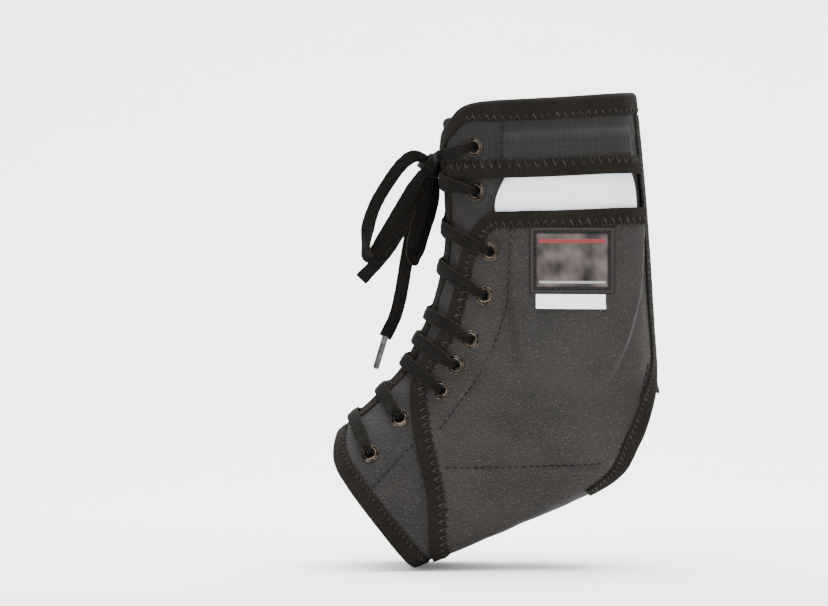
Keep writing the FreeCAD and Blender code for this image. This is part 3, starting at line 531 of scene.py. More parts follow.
def cloth(name, look):
    # woven cloth: threads from cloth coordinates in mm, specks of lighter fibre, and large patches
    made, tree = newMaterial(name)
    place = addNode(tree, "Attribute", {"attribute_name": "weave"})
    vector = place.outputs["Vector"]
    rib = addNode(tree, "TexWave", {"wave_type": "BANDS", "bands_direction": look["lie"],
                                    "Scale": (0.444 if look["lie"] == "DIAGONAL" else 0.314) / look["thread"],
                                    "Distortion": 0.6, "Detail": 2.0,
                                    "Detail Scale": 1.5}, {"Vector": vector})
    speck = addNode(tree, "TexNoise", {"Scale": 1.0 / look["speck"], "Detail": 3.0, "Roughness": 0.65},
                    {"Vector": vector})
    patch = addNode(tree, "TexNoise", {"Scale": 0.035, "Detail": 3.0}, {"Vector": vector})
    keen = addNode(tree, "MapRange", {"From Min": 0.56, "From Max": 0.78,
                                      "To Max": look["speckShare"]}, {"Value": speck.outputs[0]})
    body = addNode(tree, "Mix", {"data_type": "RGBA", 6: toLinear(look["dark"]), 7: toLinear(look["light"])},
                   {0: rib.outputs[1]})
    share = addNode(tree, "MapRange", {"From Min": 0.42, "From Max": 0.7, "To Max": 0.55},
                    {"Value": patch.outputs[0]})
    worn = addNode(tree, "Mix", {"data_type": "RGBA", 7: toLinear(look["worn"])},
                   {0: share.outputs[0], 6: body.outputs[2]})
    lit = addNode(tree, "Mix", {"data_type": "RGBA", 7: toLinear(look["fibre"])},
                  {0: keen.outputs[0], 6: worn.outputs[2]})
    height = addNode(tree, "Math", {"operation": "MULTIPLY_ADD", 1: 0.5},
                     {0: speck.outputs[0], 2: rib.outputs[1]})
    colour = lit.outputs[2]
    if "square" in look:
        # heavier yarns that cross in squares, seen as dotted lines
        masks = []
        for one, two in (("X", "Y"), ("Y", "X")):
            line = addNode(tree, "TexWave", {"wave_type": "BANDS", "bands_direction": one,
                                             "Scale": 0.314 / look["square"], "Distortion": 0.15},
                           {"Vector": vector})
            dots = addNode(tree, "TexWave", {"wave_type": "BANDS", "bands_direction": two,
                                             "Scale": 0.314 / look["dot"], "Distortion": 0.4},
                           {"Vector": vector})
            thin = addNode(tree, "MapRange", {"From Min": 0.72, "From Max": 0.98}, {"Value": line.outputs[1]})
            masks.append(addNode(tree, "Math", {"operation": "MULTIPLY"},
                                 {0: thin.outputs[0], 1: dots.outputs[1]}))
        both = addNode(tree, "Math", {"operation": "MAXIMUM"},
                       {0: masks[0].outputs[0], 1: masks[1].outputs[0]})
        part = addNode(tree, "Math", {"operation": "MULTIPLY", 1: look["squareShare"]}, {0: both.outputs[0]})
        lined = addNode(tree, "Mix", {"data_type": "RGBA", 7: toLinear(look["squareColour"])},
                        {0: part.outputs[0], 6: colour})
        colour = lined.outputs[2]
        height = addNode(tree, "Math", {"operation": "ADD"}, {0: both.outputs[0], 1: height.outputs[0]})
    bump = addNode(tree, "Bump", {"Strength": look["relief"], "Distance": look["depth"] * mm},
                   {"Height": height.outputs[0]})
    shader = addNode(tree, "BsdfPrincipled", {
        "Roughness": look["rough"], "IOR": 1.53, "Sheen Weight": look["sheen"],
        "Sheen Roughness": 0.45, "Sheen Tint": toLinear(look["fibre"]),
        "Specular IOR Level": look.get("shine", 0.18)}, {"Base Color": colour, "Normal": bump.outputs[0]})
    addNode(tree, "OutputMaterial", links={"Surface": shader.outputs[0]})
    return made


# Ballistic nylon twill, woven and piece-dyed: fine slanted ribs with pale fibre ends. Its threads lie
# about 0.5 mm apart and are drawn at 1.1 mm, so that they show.
shellTwill = cloth("ballisticNylonTwill", {
    "lie": "DIAGONAL", "thread": 1.1, "dark": "#11100F", "light": "#1E1C1B", "worn": "#252220",
    "fibre": "#6F6B67", "speck": 0.9, "speckShare": 0.4, "rough": 0.72, "sheen": 0.02, "relief": 0.55,
    "depth": 0.25})
# The same twill with a warmer dye lot on the panels that cover the stays.
panelTwill = cloth("coatedNylonTwill", {
    "lie": "DIAGONAL", "thread": 1.2, "dark": "#12100F", "light": "#201D1B", "worn": "#272321",
    "fibre": "#716B64", "speck": 1.0, "speckShare": 0.4, "rough": 0.62, "sheen": 0.02, "relief": 0.55,
    "depth": 0.25})
# Ripstop nylon: heavier yarns cross in squares 2.9 mm wide and catch the light as dotted lines.
cuffRipstop = cloth("ripstopNylon", {
    "lie": "X", "thread": 0.9, "dark": "#0D0C0C", "light": "#151413", "worn": "#1B1918", "fibre": "#45413F",
    "speck": 0.9, "speckShare": 0.3, "square": 2.9, "dot": 0.97, "squareShare": 0.12,
    "squareColour": "#3F3B39",
    "rough": 0.66, "sheen": 0.02, "relief": 0.5, "depth": 0.25})
# Grosgrain binding tape: matt filling ribs across the tape, 0.9 mm apart.
bindingTape = cloth("grosgrainTape", {
    "lie": "X", "thread": 0.9, "dark": "#0C0A08", "light": "#16130F", "worn": "#1B1713", "fibre": "#443D36",
    "speck": 0.8, "speckShare": 0.35, "rough": 0.86, "sheen": 0.02, "relief": 0.6, "depth": 0.22,
    "shine": 0.08})
# Knitted elastic: rubber cores under polyester give soft ribs along it and a faint gloss.
elasticWeb = cloth("coveredElastic", {
    "lie": "X", "thread": 1.5, "dark": "#0E0E0E", "light": "#1D1D1D", "worn": "#222222", "fibre": "#555554",
    "speck": 0.8, "speckShare": 0.3, "rough": 0.75, "sheen": 0.02, "relief": 0.7, "depth": 0.3})
# Foam between brushed nylon faces: a short nap that takes the light softly.
tongueCloth = cloth("foamLaminate", {
    "lie": "DIAGONAL", "thread": 1.0, "dark": "#121212", "light": "#1E1E1E", "worn": "#242424",
    "fibre": "#5E5E5D", "speck": 0.7, "speckShare": 0.35, "rough": 0.85, "sheen": 0.06, "relief": 0.35,
    "depth": 0.2})
# Woven nylon webbing for the strip under the foot: coarse, hard-wearing ribs.
soleWeb = cloth("nylonWebbing", {
    "lie": "Y", "thread": 1.6, "dark": "#121212", "light": "#202020", "worn": "#2A2A2A", "fibre": "#636362",
    "speck": 1.1, "speckShare": 0.35, "rough": 0.74, "sheen": 0.02, "relief": 0.7, "depth": 0.35})


def dyed(name, look):
    # thread, lace and label yarns: a plain colour broken up by fibre, with a pale share from an attribute
    made, tree = newMaterial(name)
    place = addNode(tree, "Attribute", {"attribute_name": "weave"})
    pale = addNode(tree, "Attribute", {"attribute_name": "pale"})
    vector = place.outputs["Vector"]
    speck = addNode(tree, "TexNoise", {"Scale": 1.0 / look["speck"], "Detail": 3.0, "Roughness": 0.6},
                    {"Vector": vector})
    plait = addNode(tree, "TexWave", {"wave_type": "BANDS", "bands_direction": look["lie"],
                                      "Scale": 0.314 / look["thread"], "Distortion": 0.8, "Detail": 1.0},
                    {"Vector": vector})
    body = addNode(tree, "Mix", {"data_type": "RGBA", 6: toLinear(look["dark"]), 7: toLinear(look["light"])},
                   {0: plait.outputs[1]})
    keen = addNode(tree, "MapRange", {"From Min": 0.52, "From Max": 0.74, "To Max": look["speckShare"]},
                   {"Value": speck.outputs[0]})
    share = addNode(tree, "Math", {"operation": "MAXIMUM"}, {0: pale.outputs["Fac"], 1: keen.outputs[0]})
    lit = addNode(tree, "Mix", {"data_type": "RGBA", 7: toLinear(look["pale"])},
                  {0: share.outputs[0], 6: body.outputs[2]})
    height = addNode(tree, "Math", {"operation": "ADD"}, {0: plait.outputs[1], 1: speck.outputs[0]})
    bump = addNode(tree, "Bump", {"Strength": look["relief"], "Distance": look["depth"] * mm},
                   {"Height": height.outputs[0]})
    shader = addNode(tree, "BsdfPrincipled", {
        "Roughness": look["rough"], "IOR": 1.55, "Sheen Weight": look["sheen"], "Sheen Roughness": 0.5,
        "Specular IOR Level": look.get("shine", 0.3)},
        {"Base Color": lit.outputs[2], "Normal": bump.outputs[0]})
    addNode(tree, "OutputMaterial", links={"Surface": shader.outputs[0]})
    return made


# Flat braided polyester lace: plaited yarns run along it, with paler cotton caught along both edges.
laceBraid = dyed("braidedPolyester", {
    "lie": "Y", "thread": 1.24, "speck": 0.8, "dark": "#060504", "light": "#0E0C0A", "pale": "#4A4238",
    "speckShare": 0.15, "relief": 0.6, "depth": 0.3, "rough": 0.8, "sheen": 0.01, "shine": 0.06})
# Bonded nylon sewing thread, twisted: grey where it crosses the tape, and black beyond it; on the zigzags the
# grey is dimmed on one slant, which leaves a painted highlight on the other.
sewingThread = dyed("bondedNylonThread", {
    "lie": "DIAGONAL", "thread": 0.5, "speck": 0.6, "dark": "#060505", "light": "#0C0B0B", "pale": "#524B43",
    "speckShare": 0.1, "relief": 0.4, "depth": 0.08, "rough": 0.6, "sheen": 0.0, "shine": 0.12})
# Woven satin label: a smooth black face with a soft gloss and a corded edge.
labelSatin = dyed("wovenSatinBlack", {
    "lie": "Y", "thread": 0.8, "speck": 0.7, "dark": "#050505", "light": "#090909", "pale": "#6E6461",
    "speckShare": 0.08, "relief": 0.3, "depth": 0.12, "rough": 0.5, "sheen": 0.0, "shine": 0.1})
careSatin = dyed("wovenSatinWhite", {
    "lie": "Y", "thread": 0.7, "speck": 0.7, "dark": "#D6D6D4", "light": "#ECECEA", "pale": "#FFFFFF",
    "speckShare": 0.3, "relief": 0.25, "depth": 0.1, "rough": 0.5, "sheen": 0.05, "shine": 0.5})
barRed = dyed("satinRed", {
    "lie": "Y", "thread": 0.6, "speck": 0.7, "dark": "#5A1013", "light": "#74181B", "pale": "#94403C",
    "speckShare": 0.2, "relief": 0.3, "depth": 0.1, "rough": 0.5, "sheen": 0.05})
barGrey = dyed("satinGrey", {
    "lie": "Y", "thread": 0.6, "speck": 0.7, "dark": "#6A6B6D", "light": "#8A8B8D", "pale": "#B4B4B4",
    "speckShare": 0.2, "relief": 0.3, "depth": 0.1, "rough": 0.5, "sheen": 0.05})


def hard(name, look):
    # metal and plastic: fine grain in the gloss, and a little wear in the colour
    made, tree = newMaterial(name)
    where = addNode(tree, "TexCoord")
    grain = addNode(tree, "TexNoise", {"Scale": 1000.0 / look["grain"], "Detail": 3.0},
                    {"Vector": where.outputs["Object"]})
    wear = addNode(tree, "TexNoise", {"Scale": 1000.0 / look["patch"], "Detail": 4.0, "Roughness": 0.6},
                   {"Vector": where.outputs["Object"]})
    share = addNode(tree, "MapRange", {"From Min": 0.38, "From Max": 0.66}, {"Value": wear.outputs[0]})
    body = addNode(tree, "Mix", {"data_type": "RGBA", 6: toLinear(look["dark"]), 7: toLinear(look["light"])},
                   {0: share.outputs[0]})
    gloss = addNode(tree, "MapRange", {"To Min": look["rough"][0], "To Max": look["rough"][1]},
                    {"Value": grain.outputs[0]})
    bump = addNode(tree, "Bump", {"Strength": look["relief"], "Distance": look["depth"] * mm},
                   {"Height": grain.outputs[0]})
    settings = {"Metallic": look["metal"], "Specular IOR Level": look.get("shine", 0.5)}
    settings.update(look.get("more", {}))
    shader = addNode(tree, "BsdfPrincipled", settings, {
        "Base Color": body.outputs[2], "Roughness": gloss.outputs[0], "Normal": bump.outputs[0]})
    addNode(tree, "OutputMaterial", links={"Surface": shader.outputs[0]})
    return made


# Stamped brass, antiqued and tumbled: brown in the hollows and bright where the rim rubs.
rolledBrass = hard("antiquedBrass", {
    "grain": 0.9, "patch": 3.0, "dark": "#231F1B", "light": "#655A50", "rough": (0.2, 0.36), "relief": 0.15,
    "depth": 0.05, "metal": 1.0})
# Nickel-plated steel washers on the inside.
platedSteel = hard("nickelPlate", {
    "grain": 0.7, "patch": 4.0, "dark": "#7C7A76", "light": "#A9A7A2", "rough": (0.25, 0.4), "relief": 0.1,
    "depth": 0.04, "metal": 1.0})
# Injection-moulded polypropylene: cool white, satin, with a faint orange-peel skin.
stayPolypropylene = hard("mouldedPolypropylene", {
    "grain": 1.4, "patch": 24.0, "dark": "#DDE1E6", "light": "#ECEFF2", "rough": (0.34, 0.46), "relief": 0.08,
    "depth": 0.06, "metal": 0.0, "more": {"IOR": 1.49, "Subsurface Weight": 0.08, "Subsurface Scale": 0.002}})
# Clear acetate film rolled hot round the lace end: smoky and glossy over dark yarn.
aglet = hard("rolledAcetate", {
    "grain": 0.8, "patch": 2.4, "dark": "#1D1C1A", "light": "#4A4844", "rough": (0.3, 0.42), "relief": 0.25,
    "depth": 0.08, "metal": 0.0, "shine": 0.3, "more": {"IOR": 1.48, "Coat Weight": 0.2,
                                                        "Coat Roughness": 0.15}})
print("materials made")

# ---- the bow's cords ----

lace = {"wide": 6.2, "thick": 1.2, "foldedWide": 3.6, "foldedThick": 2.2, "ribs": 5, "ribDepth": 0.16,
        "scallop": 0.16, "scallopEvery": 1.5}
bow = {
    "loopFront": [(-49.6, -6.5, 105.4), (-53.6, -9.6, 107.8), (-58.0, -13.5, 106.6), (-63.2, -16.5, 101.6),
                  (-69.6, -19.5, 92.0), (-74.4, -21.5, 83.6), (-77.4, -22.5, 74.6), (-78.6, -22.5, 65.8),
                  (-78.4, -21.5, 60.6), (-76.9, -19.0, 58.4), (-74.9, -17.0, 60.4), (-69.6, -15.5, 69.6),
                  (-61.6, -13.5, 83.0), (-55.4, -11.0, 93.6), (-51.6, -8.2, 99.4)],
    "loopBack": [(-46.6, 3.0, 99.0), (-45.4, 3.6, 91.0), (-48.0, 3.6, 80.0), (-52.0, 2.8, 68.4),
                 (-54.4, 1.6, 60.0), (-56.2, -0.8, 56.0), (-57.6, -3.0, 58.4), (-56.4, -4.6, 66.0),
                 (-53.4, -5.4, 78.0), (-50.0, -5.2, 89.0), (-48.2, -3.6, 98.0)],
    "tailFront": [(-49.6, -3.0, 101.0), (-54.2, -7.0, 91.0), (-59.6, -10.0, 77.2), (-66.2, -12.0, 65.4),
                  (-73.0, -13.4, 56.6), (-81.0, -14.4, 48.4)],
    "tailBack": [(-50.0, 1.0, 99.6), (-53.0, 1.4, 88.0), (-57.0, 0.6, 71.6), (-59.6, -1.2, 56.2),
                 (-61.6, -3.6, 43.2), (-64.2, -4.0, 31.6), (-67.6, -4.4, 24.6), (-69.6, -4.6, 20.8)],
    "knot": (-47.4, 0.0, 103.4),
    "knotHalf": (4.2, 7.4, 6.2),
    "tipEnd": (-74.4, -5.0, 4.8),
}


def nurbsLine(points, count):
    # the smooth line drawn by a route, read from a bevel-less curve, as even points in mm
    curve = bpy.data.curves.new("laceRoute", "CURVE")
    curve.dimensions = "3D"
    curve.resolution_u = 24
    spline = curve.splines.new("NURBS")
    spline.points.add(len(points) - 1)
    for point, p in zip(spline.points, points):
        point.co = (p[0] * mm, p[1] * mm, p[2] * mm, 1)
    spline.order_u = 3
    spline.use_endpoint_u = True
    holder = bpy.data.objects.new("laceRoute", curve)
    mesh = bpy.data.meshes.new_from_object(holder)
    line = np.array([v.co for v in mesh.vertices]) / mm
    bpy.data.objects.remove(holder)
    bpy.data.meshes.remove(mesh)
    far = runs(line)
    at = np.linspace(0, far[-1], count)
    return np.stack([np.interp(at, far, line[:, k]) for k in range(3)], -1)


def softened(values, times):
    for _ in range(times):
        values = np.concatenate([values[:1], (values[:-2] + values[1:-1] * 2 + values[2:]) / 4, values[-1:]])
    return values


def laceStrip(path, sides, wides, thicks, seed):
    # a flat braid: lengthwise ribs on both faces, scalloped edges, closed ends
    path, sides = np.asarray(path), unit(np.asarray(sides))
    along = unit(np.gradient(path, axis=0))
    sides = unit(sides - along * np.sum(sides * along, -1, keepdims=True))
    up = np.cross(along, sides)
    far = runs(path)
    around = 28
    a = np.arange(around) * 2 * math.pi / around
    flatX = np.sign(np.cos(a)) * np.abs(np.cos(a)) ** 0.8
    flatY = np.sign(np.sin(a)) * np.abs(np.sin(a)) ** 0.55
    noise = wobble(far, far * 0, 5.0, seed) * 0.12
    edge = lace["scallop"] * np.abs(np.sin(math.pi * far / lace["scallopEvery"])) + noise
    half = np.asarray(wides)[:, None] / 2 + edge[:, None] * np.abs(flatX)[None] ** 6
    rib = lace["ribDepth"] * np.cos(flatX * math.pi * lace["ribs"])[None] * (np.abs(flatX) < 0.93)[None]
    plait = 0.05 * np.sin(2 * math.pi * (far[:, None] / 1.1 + flatX[None] * 1.5))
    deep = np.asarray(thicks)[:, None] / 2 + rib + plait
    ring = (path[:, None] + sides[:, None] * (flatX[None] * half)[..., None]
            + up[:, None] * (flatY[None] * deep)[..., None])
    verts = ring.reshape(-1, 3)
    pale = np.clip((np.abs(flatX)[None] - 0.88) / 0.12, 0, 1) * (0.1 + 0.25 * np.sin(far * 4.2)[:, None] ** 2)
    weave = np.stack([far[:, None] + 0 * half, flatX[None] * half,
                      (flatY > 0)[None] * 9.0 + 0 * half + seed], -1)
    faces = turnedOut(verts, closedTube(len(path), around))
    return verts, faces, {"weave": weave.reshape(-1, 3), "pale": pale.ravel()}


def joined(parts):
    # several meshes as one, with their attributes
    verts, faces, keys = [], [], {}
    at = 0
    for v, f, attributes in parts:
        verts.append(v)
        faces.append(f + at)
        at += len(v)
        for key, values in attributes.items():
            keys.setdefault(key, []).append(values)
    return np.concatenate(verts), np.concatenate(faces), {k: np.concatenate(v) for k, v in keys.items()}


def bowCord(name, node, points, look, apex, length, seed, **facts):
    # apex is where a loop turns back: there the lace stands on edge, as a folded ribbon does
    line = nurbsLine(points, max(60, int(length / 0.45)))
    far = runs(line)
    along = unit(np.gradient(line, axis=0))
    face = unit(np.cross(along, np.array(look)))
    if apex is not None:
        turn = np.exp(-((far / far[-1] - apex) / 0.075) ** 2)[:, None] * 1.1
        face = unit(face * np.cos(turn) + np.cross(along, face) * np.sin(turn))
    lean = 0.22 * np.sin(far / 17.0 + seed)[:, None]
    face = unit(face * np.cos(lean) + np.cross(along, face) * np.sin(lean))
    face = softened(face, 12)
    taper = 1 - 0.28 * np.exp(-(far / 7.0) ** 2) - (0.28 * np.exp(-((far[-1] - far) / 7.0) ** 2)
                                                    if apex is not None else 0)
    made = laceStrip(line, face, lace["wide"] * taper, lace["thick"] + 0 * far, seed)
    piece = addMesh(name, made, laceBraid, "brace", [node])
    return piece, line


def makeTip(start, way):
    # the rolled tip: a slim tube with a lapped seam and lengthwise lines
    far, count, around = 16.4, 30, 28
    side = unit(np.cross(way, (0.0, 1.0, 0.0)))
    up = np.cross(way, side)
    ring = []
    for k in range(count):
        u = k / (count - 1)
        r = 1.42 + 0.1 * math.exp(-(u / 0.05) ** 2) - 0.5 * max(0, (u - 0.93) / 0.07) ** 2
        for j in range(around):
            a = 2 * math.pi * j / around
            rr = r + 0.05 * math.cos(7 * a) + (0.14 if j == 4 else 0)
            ring.append(start + way * far * u + (side * math.cos(a) * 1.05 + up * math.sin(a) * 0.92) * rr)
    verts = np.array(ring)
    made = (verts, turnedOut(verts, closedTube(count, around)), {})
    return addMesh("laceTip", made, aglet, "brace", ["lace_tip"])


tailEnd = np.array(bow["tailBack"][-1])
tipWay = unit(np.array(bow["tipEnd"]) - tailEnd)
tip = makeTip(tailEnd - tipWay * 0.6, tipWay)
bowCord("laceLoopFront", "lace_loop_front", bow["loopFront"], (0.25, -1, 0.1), 0.52, 114.0, 3,
        far_end="object", lay="hanging")
bowCord("laceLoopBack", "lace_loop_back", bow["loopBack"], (0.2, -1, 0.0), 0.5, 85.0, 4,
        far_end="object", lay="hanging")
bowCord("laceTailFront", "lace_tail_front", bow["tailFront"], (0.2, -1, 0.1), None, 61.0, 5,
        far_end="bare", lay="hanging")
bowCord("laceTailBack", "lace_tail_back", bow["tailBack"], (0.1, -1, 0.0), None, 81.0, 6,
        far_end="fitting", lay="hanging", with_pieces=[tip])
print("bow cords made")

# ---- outlines of the panels ----


def gapAt(s):
    return outline["halfGap"] + (outline["toeHalfGap"] - outline["halfGap"]) * smooth(
        (s - fan[3]) / (fan[9] - fan[3]))


def sideSpots(points):
    return [fromSide(x, z) for x, z in points]


def rimLine():
    z = outline["top"]
    spots = [fromWidth(fromSide(45.0, z + 3.6)[0], outline["achillesHalf"], True)]
    spots += sideSpots([(38.0, z + 2.6), (14.4, z + 0.6), (-10.0, z - 0.7), (-26.0, z - 1.8),
                        (-33.4, z - 4.0), (-38.2, z - 9.0)])
    for s in np.linspace(fromSide(-40.6, z - 16.0)[0], fromSide(-91.0, -25.0)[0], 12):
        spots.append(fromWidth(s, gapAt(s), False))
    return evenLine(spots, 110)


def backLine(count):
    spots = []
    for s in np.linspace(fromSide(45.0, outline["top"] + 3.6)[0], fromSide(55.0, 12.0)[0], 6):
        spots.append(fromWidth(s, outline["achillesHalf"], True))
    spots += sideSpots([(58.2, -4.0), (54.2, -17.0), (48.6, -30.5), (43.0, -42.0)])
    for x, z in [(26.0, -55.0), (10.0, -61.7), (-10.0, -70.0), (-30.0, -78.4), (-48.0, -85.9)]:
        spots.append(fromWidth(fromSide(x, z + 1.5)[0], outline["soleHalf"] + 0.3, True))
    spots.append(fromWidth(fromSide(-55.0, -86.5)[0], outline["soleHalf"] + 0.3, True))
    return evenLine(spots, count)


def toeLine(front, back, count):
    return evenLine([front] + sideSpots([(-92.6, -36.0), (-86.6, -46.6), (-77.0, -59.5), (-67.4, -71.8)])
                    + [back], count)


rim = rimLine()
cornerAt = fromSide(-35.6, outline["top"] - 6.0)
corner = int(np.argmin(np.hypot(rim[:, 0] - cornerAt[0], (rim[:, 1] - cornerAt[1]) * 100)))
topLine = evenLine(rim[corner::-1], 90)
frontLine = evenLine(rim[corner:], 190)
backEdge = backLine(190)
toeEdge = toeLine(frontLine[-1], backEdge[-1], 90)

stay = {
    "front": [(-9.0, 103.0), (-12.4, 96.0), (-16.8, 81.0), (-13.0, 73.0), (-7.0, 64.0), (-5.5, 50.0),
              (-4.0, 30.0), (-1.0, 8.0)],
    "back": [(42.6, 105.0), (46.8, 98.0), (49.2, 82.0), (49.4, 72.0), (49.0, 62.0), (48.0, 50.0),
             (44.0, 30.0), (34.0, 8.0)],
    "low": -0.4, "thick": 1.6, "travel": 6.0, "air": 0.9, "roomSide": 3.5, "roomFall": 4.5,
}
stayFront = evenLine(sideSpots(stay["front"]), 16)
stayBack = evenLine(sideSpots(stay["back"]), 16)
stayFrontT = naturalSpline(stayFront[:, 0], stayFront[:, 1])
stayBackT = naturalSpline(stayBack[:, 0], stayBack[:, 1])
stayHighS = fromSide(20.0, 105.0 + stay["travel"] + 4.0)[0]
stayLowS = fromSide(20.0, 6.0)[0]


def room(s, t):
    # 1 over the stay and its travel, 0 well away from it
    girth = np.linalg.norm(slopes(s, 0.5 + 0 * s)[1], axis=-1)
    inside = np.clip(s, stayFront[0, 0], stayFront[-1, 0])
    fall, side = stay["roomFall"], stay["roomSide"]
    share = smooth(((t - stayFrontT(inside)) * girth + fall + side) / fall)
    share = share * smooth(((stayBackT(inside) - t) * girth + fall + side) / fall)
    return share * smooth((s - stayHighS + 6.0) / 6.0) * smooth((stayLowS + 12.0 - s) / 12.0)


layers["skinRise"] = stay["low"] + stay["thick"] + stay["air"] - layers["skinFlat"]


def skinLow(s, t):
    return layers["skinFlat"] + layers["skinRise"] * room(s, t)


def skinHigh(s, t):
    return skinLow(s, t) + layers["skinThick"]


def nearest(points, line):
    # how far each point is from the points of a line
    flat = points.reshape(-1, 3)
    out = np.full(len(flat), 1e9)
    for q in line:
        out = np.minimum(out, np.linalg.norm(flat - q, axis=1))
    return out.reshape(points.shape[:-1])


seams = {
    # sewn lines on the panels, as x and z from the side
    "panelCurve": [(-10.1, 72.5), (-10.6, 56.6), (-12.0, 38.4), (-15.8, 24.0), (-20.6, 12.0), (-28.8, -2.4),
                   (-36.0, -12.0), (-44.2, -23.0)],
    "footCurve": [(-56.2, -29.0), (-63.0, -36.0), (-70.5, -44.5), (-77.8, -52.3)],
    "solePanel": [(-40.8, -40.3), (-20.0, -40.2), (5.0, -39.6), (33.6, -38.4)],
    "heelMark": [(55.2, 8.2), (53.6, 0.0), (50.9, -8.2)],
    "cuffFront": [(-14.0, 124.0), (-14.2, 110.0), (-14.4, 96.8)],
    "groove": 0.45, "grooveWide": 1.5,
}


def seamLine(key, count=60):
    return evenLine(sideSpots(seams[key]), count)


def grooveAt(points, keys):
    out = 0.0
    for key in keys:
        line = seamLine(key, 140)
        far = nearest(points, skin(line[:, 0], line[:, 1]))
        # the cloth dips at the stitches and swells softly beside them
        out = out - seams["groove"] * np.exp(-(far / seams["grooveWide"]) ** 2)
        out = out + 0.35 * seams["groove"] * np.exp(-((far - 4.0) / 2.6) ** 2)
    return out
print("outlines drawn")

# ---- the two halves of the shell ----

pocketSpots = [(-17.5, 79.6), (-22.0, 78.0), (-26.6, 73.4), (-30.0, 67.0), (-33.6, 58.0), (-35.4, 48.0),
               (-37.6, 38.0), (-41.8, 25.0), (-49.6, 13.4), (-55.4, 3.0), (-57.2, -8.0), (-55.4, -25.0),
               (-52.6, -38.0), (-49.8, -50.0), (-48.4, -66.0), (-47.8, -79.0)]


def bored(verts, faces, attributes, radius, use):
    # opens the holes for the eyelets
    keep = np.ones(len(faces), bool)
    mid = verts[faces].mean(1)
    for k, (x, z) in enumerate(eyelets["spots"]):
        if use[k]:
            s, t = fromSide(x, z)
            p, n = skin(s, t), normals(s, t)
            off = mid - p
            off = off - n * (off @ n)[:, None]
            keep &= (np.linalg.norm(off, axis=1) > radius) | (np.abs((mid - p) @ n) > 9)
    return verts, faces[keep], attributes


def makeQuarters():
    rows = blendRows(frontLine, backEdge, evenLine(topLine, 90), evenLine(toeEdge, 90))
    s, t = rows[..., 0], rows[..., 1]
    line = evenLine(sideSpots(pocketSpots), 60)
    pocketT = np.interp(s, line[:, 0], line[:, 1])
    girth = np.linalg.norm(slopes(s, 0.5 + 0 * s)[1], axis=-1)
    bare = smooth(((pocketT - t) * girth - 3.0) / 8.0) * smooth((s - fromSide(-20.0, 70.0)[0]) / 12.0)
    p = skin(s, t)
    swell = 0.28 + 0.32 * wobble(p[..., 0], p[..., 2], 15.0, 21)
    high = layers["quarterOut"] + bare * (np.clip(swell, 0, 0.8) + grooveAt(p, ["footCurve"]) * 0.8)
    made = bored(*panelShell(rows, layers["quarterIn"] + 0 * s, high), 2.0, [1] * 9)
    addPair("quarterShell", made, shellTwill, "quarter")


def cuffLowLine(count):
    s0 = fromSide(-38.0, 95.8)[0]
    s1 = fromSide(50.0, 99.0)[0]
    spots = [fromWidth(s0, gapAt(s0), False)]
    spots += sideSpots([(-27.0, 96.1), (-10.0, 96.4), (14.4, 97.2), (36.0, 98.4)])
    return evenLine(spots + [fromWidth(s1, outline["achillesHalf"], True)], count)


def stretchOf(line, last, count):
    return evenLine([p for p in line if p[0] < last[0] - 2.5] + [last], count)


def makeCuffs():
    low = cuffLowLine(110)
    rows = blendRows(stretchOf(frontLine[::3], low[0], 50), stretchOf(backEdge[::3], low[-1], 50),
                     evenLine(topLine, 110), low)
    s, t = rows[..., 0], rows[..., 1]
    p = skin(s, t)
    soft = np.clip(0.12 + 0.2 * wobble(p[..., 0], p[..., 2], 17.0, 22), 0, 0.5)
    shape = soft + 0.7 * grooveAt(p, ["cuffFront"])
    made = panelShell(rows, skinLow(s, t) + np.clip(shape, 0, 1), skinHigh(s, t) + shape)
    addPair("cuffBand", bored(*made, 2.0, [1] + [0] * 8), cuffRipstop, "cuff_band")


def pocketLines():
    f = sideSpots(pocketSpots)
    endS = f[-1][0] + 2.0
    low = fromWidth(endS, outline["soleHalf"] + 0.3, True)
    f = evenLine(f + [low], 170)
    sTop = fromSide(50.0, 82.4)[0]
    top = evenLine([f[0]] + sideSpots([(-5.0, 80.0), (14.4, 80.4), (36.0, 81.4)])
                   + [fromWidth(sTop, outline["achillesHalf"], True)], 100)
    stop = fromSide(26.0, -53.5)[0]
    lowBack = fromWidth(stop, outline["soleHalf"] + 0.3, True)
    b = evenLine([top[-1]] + [p for p in backEdge[::4] if sTop + 3 < p[0] < stop - 2] + [lowBack], 170)
    bottom = [fromWidth(low[0] + (lowBack[0] - low[0]) * k / 7, outline["soleHalf"] + 0.3, True)
              for k in range(8)]
    return f, b, top, evenLine(bottom, 100)


def makeSidePanels():
    f, b, top, bottom = pocketLines()
    rows = blendRows(f, b, top, bottom)
    s, t = rows[..., 0], rows[..., 1]
    p = skin(s, t)
    # loose cloth over the stay: shallow slanting folds that gather at the ankle bend
    folds = wobble(p[..., 0] * 0.8 + p[..., 2] * 0.45, p[..., 2] * 0.25, 13.0, 23) * 0.42
    bend = np.exp(-((p[..., 2] - 2) / 26) ** 2) * np.exp(-((p[..., 0] + 14) / 30) ** 2)
    folds = folds * (0.55 + 0.9 * bend) + 0.25
    edgeFar = np.minimum(nearest(p, skin(f[:, 0], f[:, 1])), nearest(p, skin(b[:, 0], b[:, 1])))
    shape = np.clip(folds, 0, 1.1) * smooth((edgeFar - 5.0) / 9.0)
    shape = shape + grooveAt(p, ["panelCurve", "solePanel", "heelMark"])
    made = panelShell(rows, skinLow(s, t) + np.clip(shape, 0, 1.2), skinHigh(s, t) + np.maximum(shape, -0.35))
    addPair("sidePanel", bored(*made, 2.0, eyelets["covered"]), panelTwill, "side_panel")


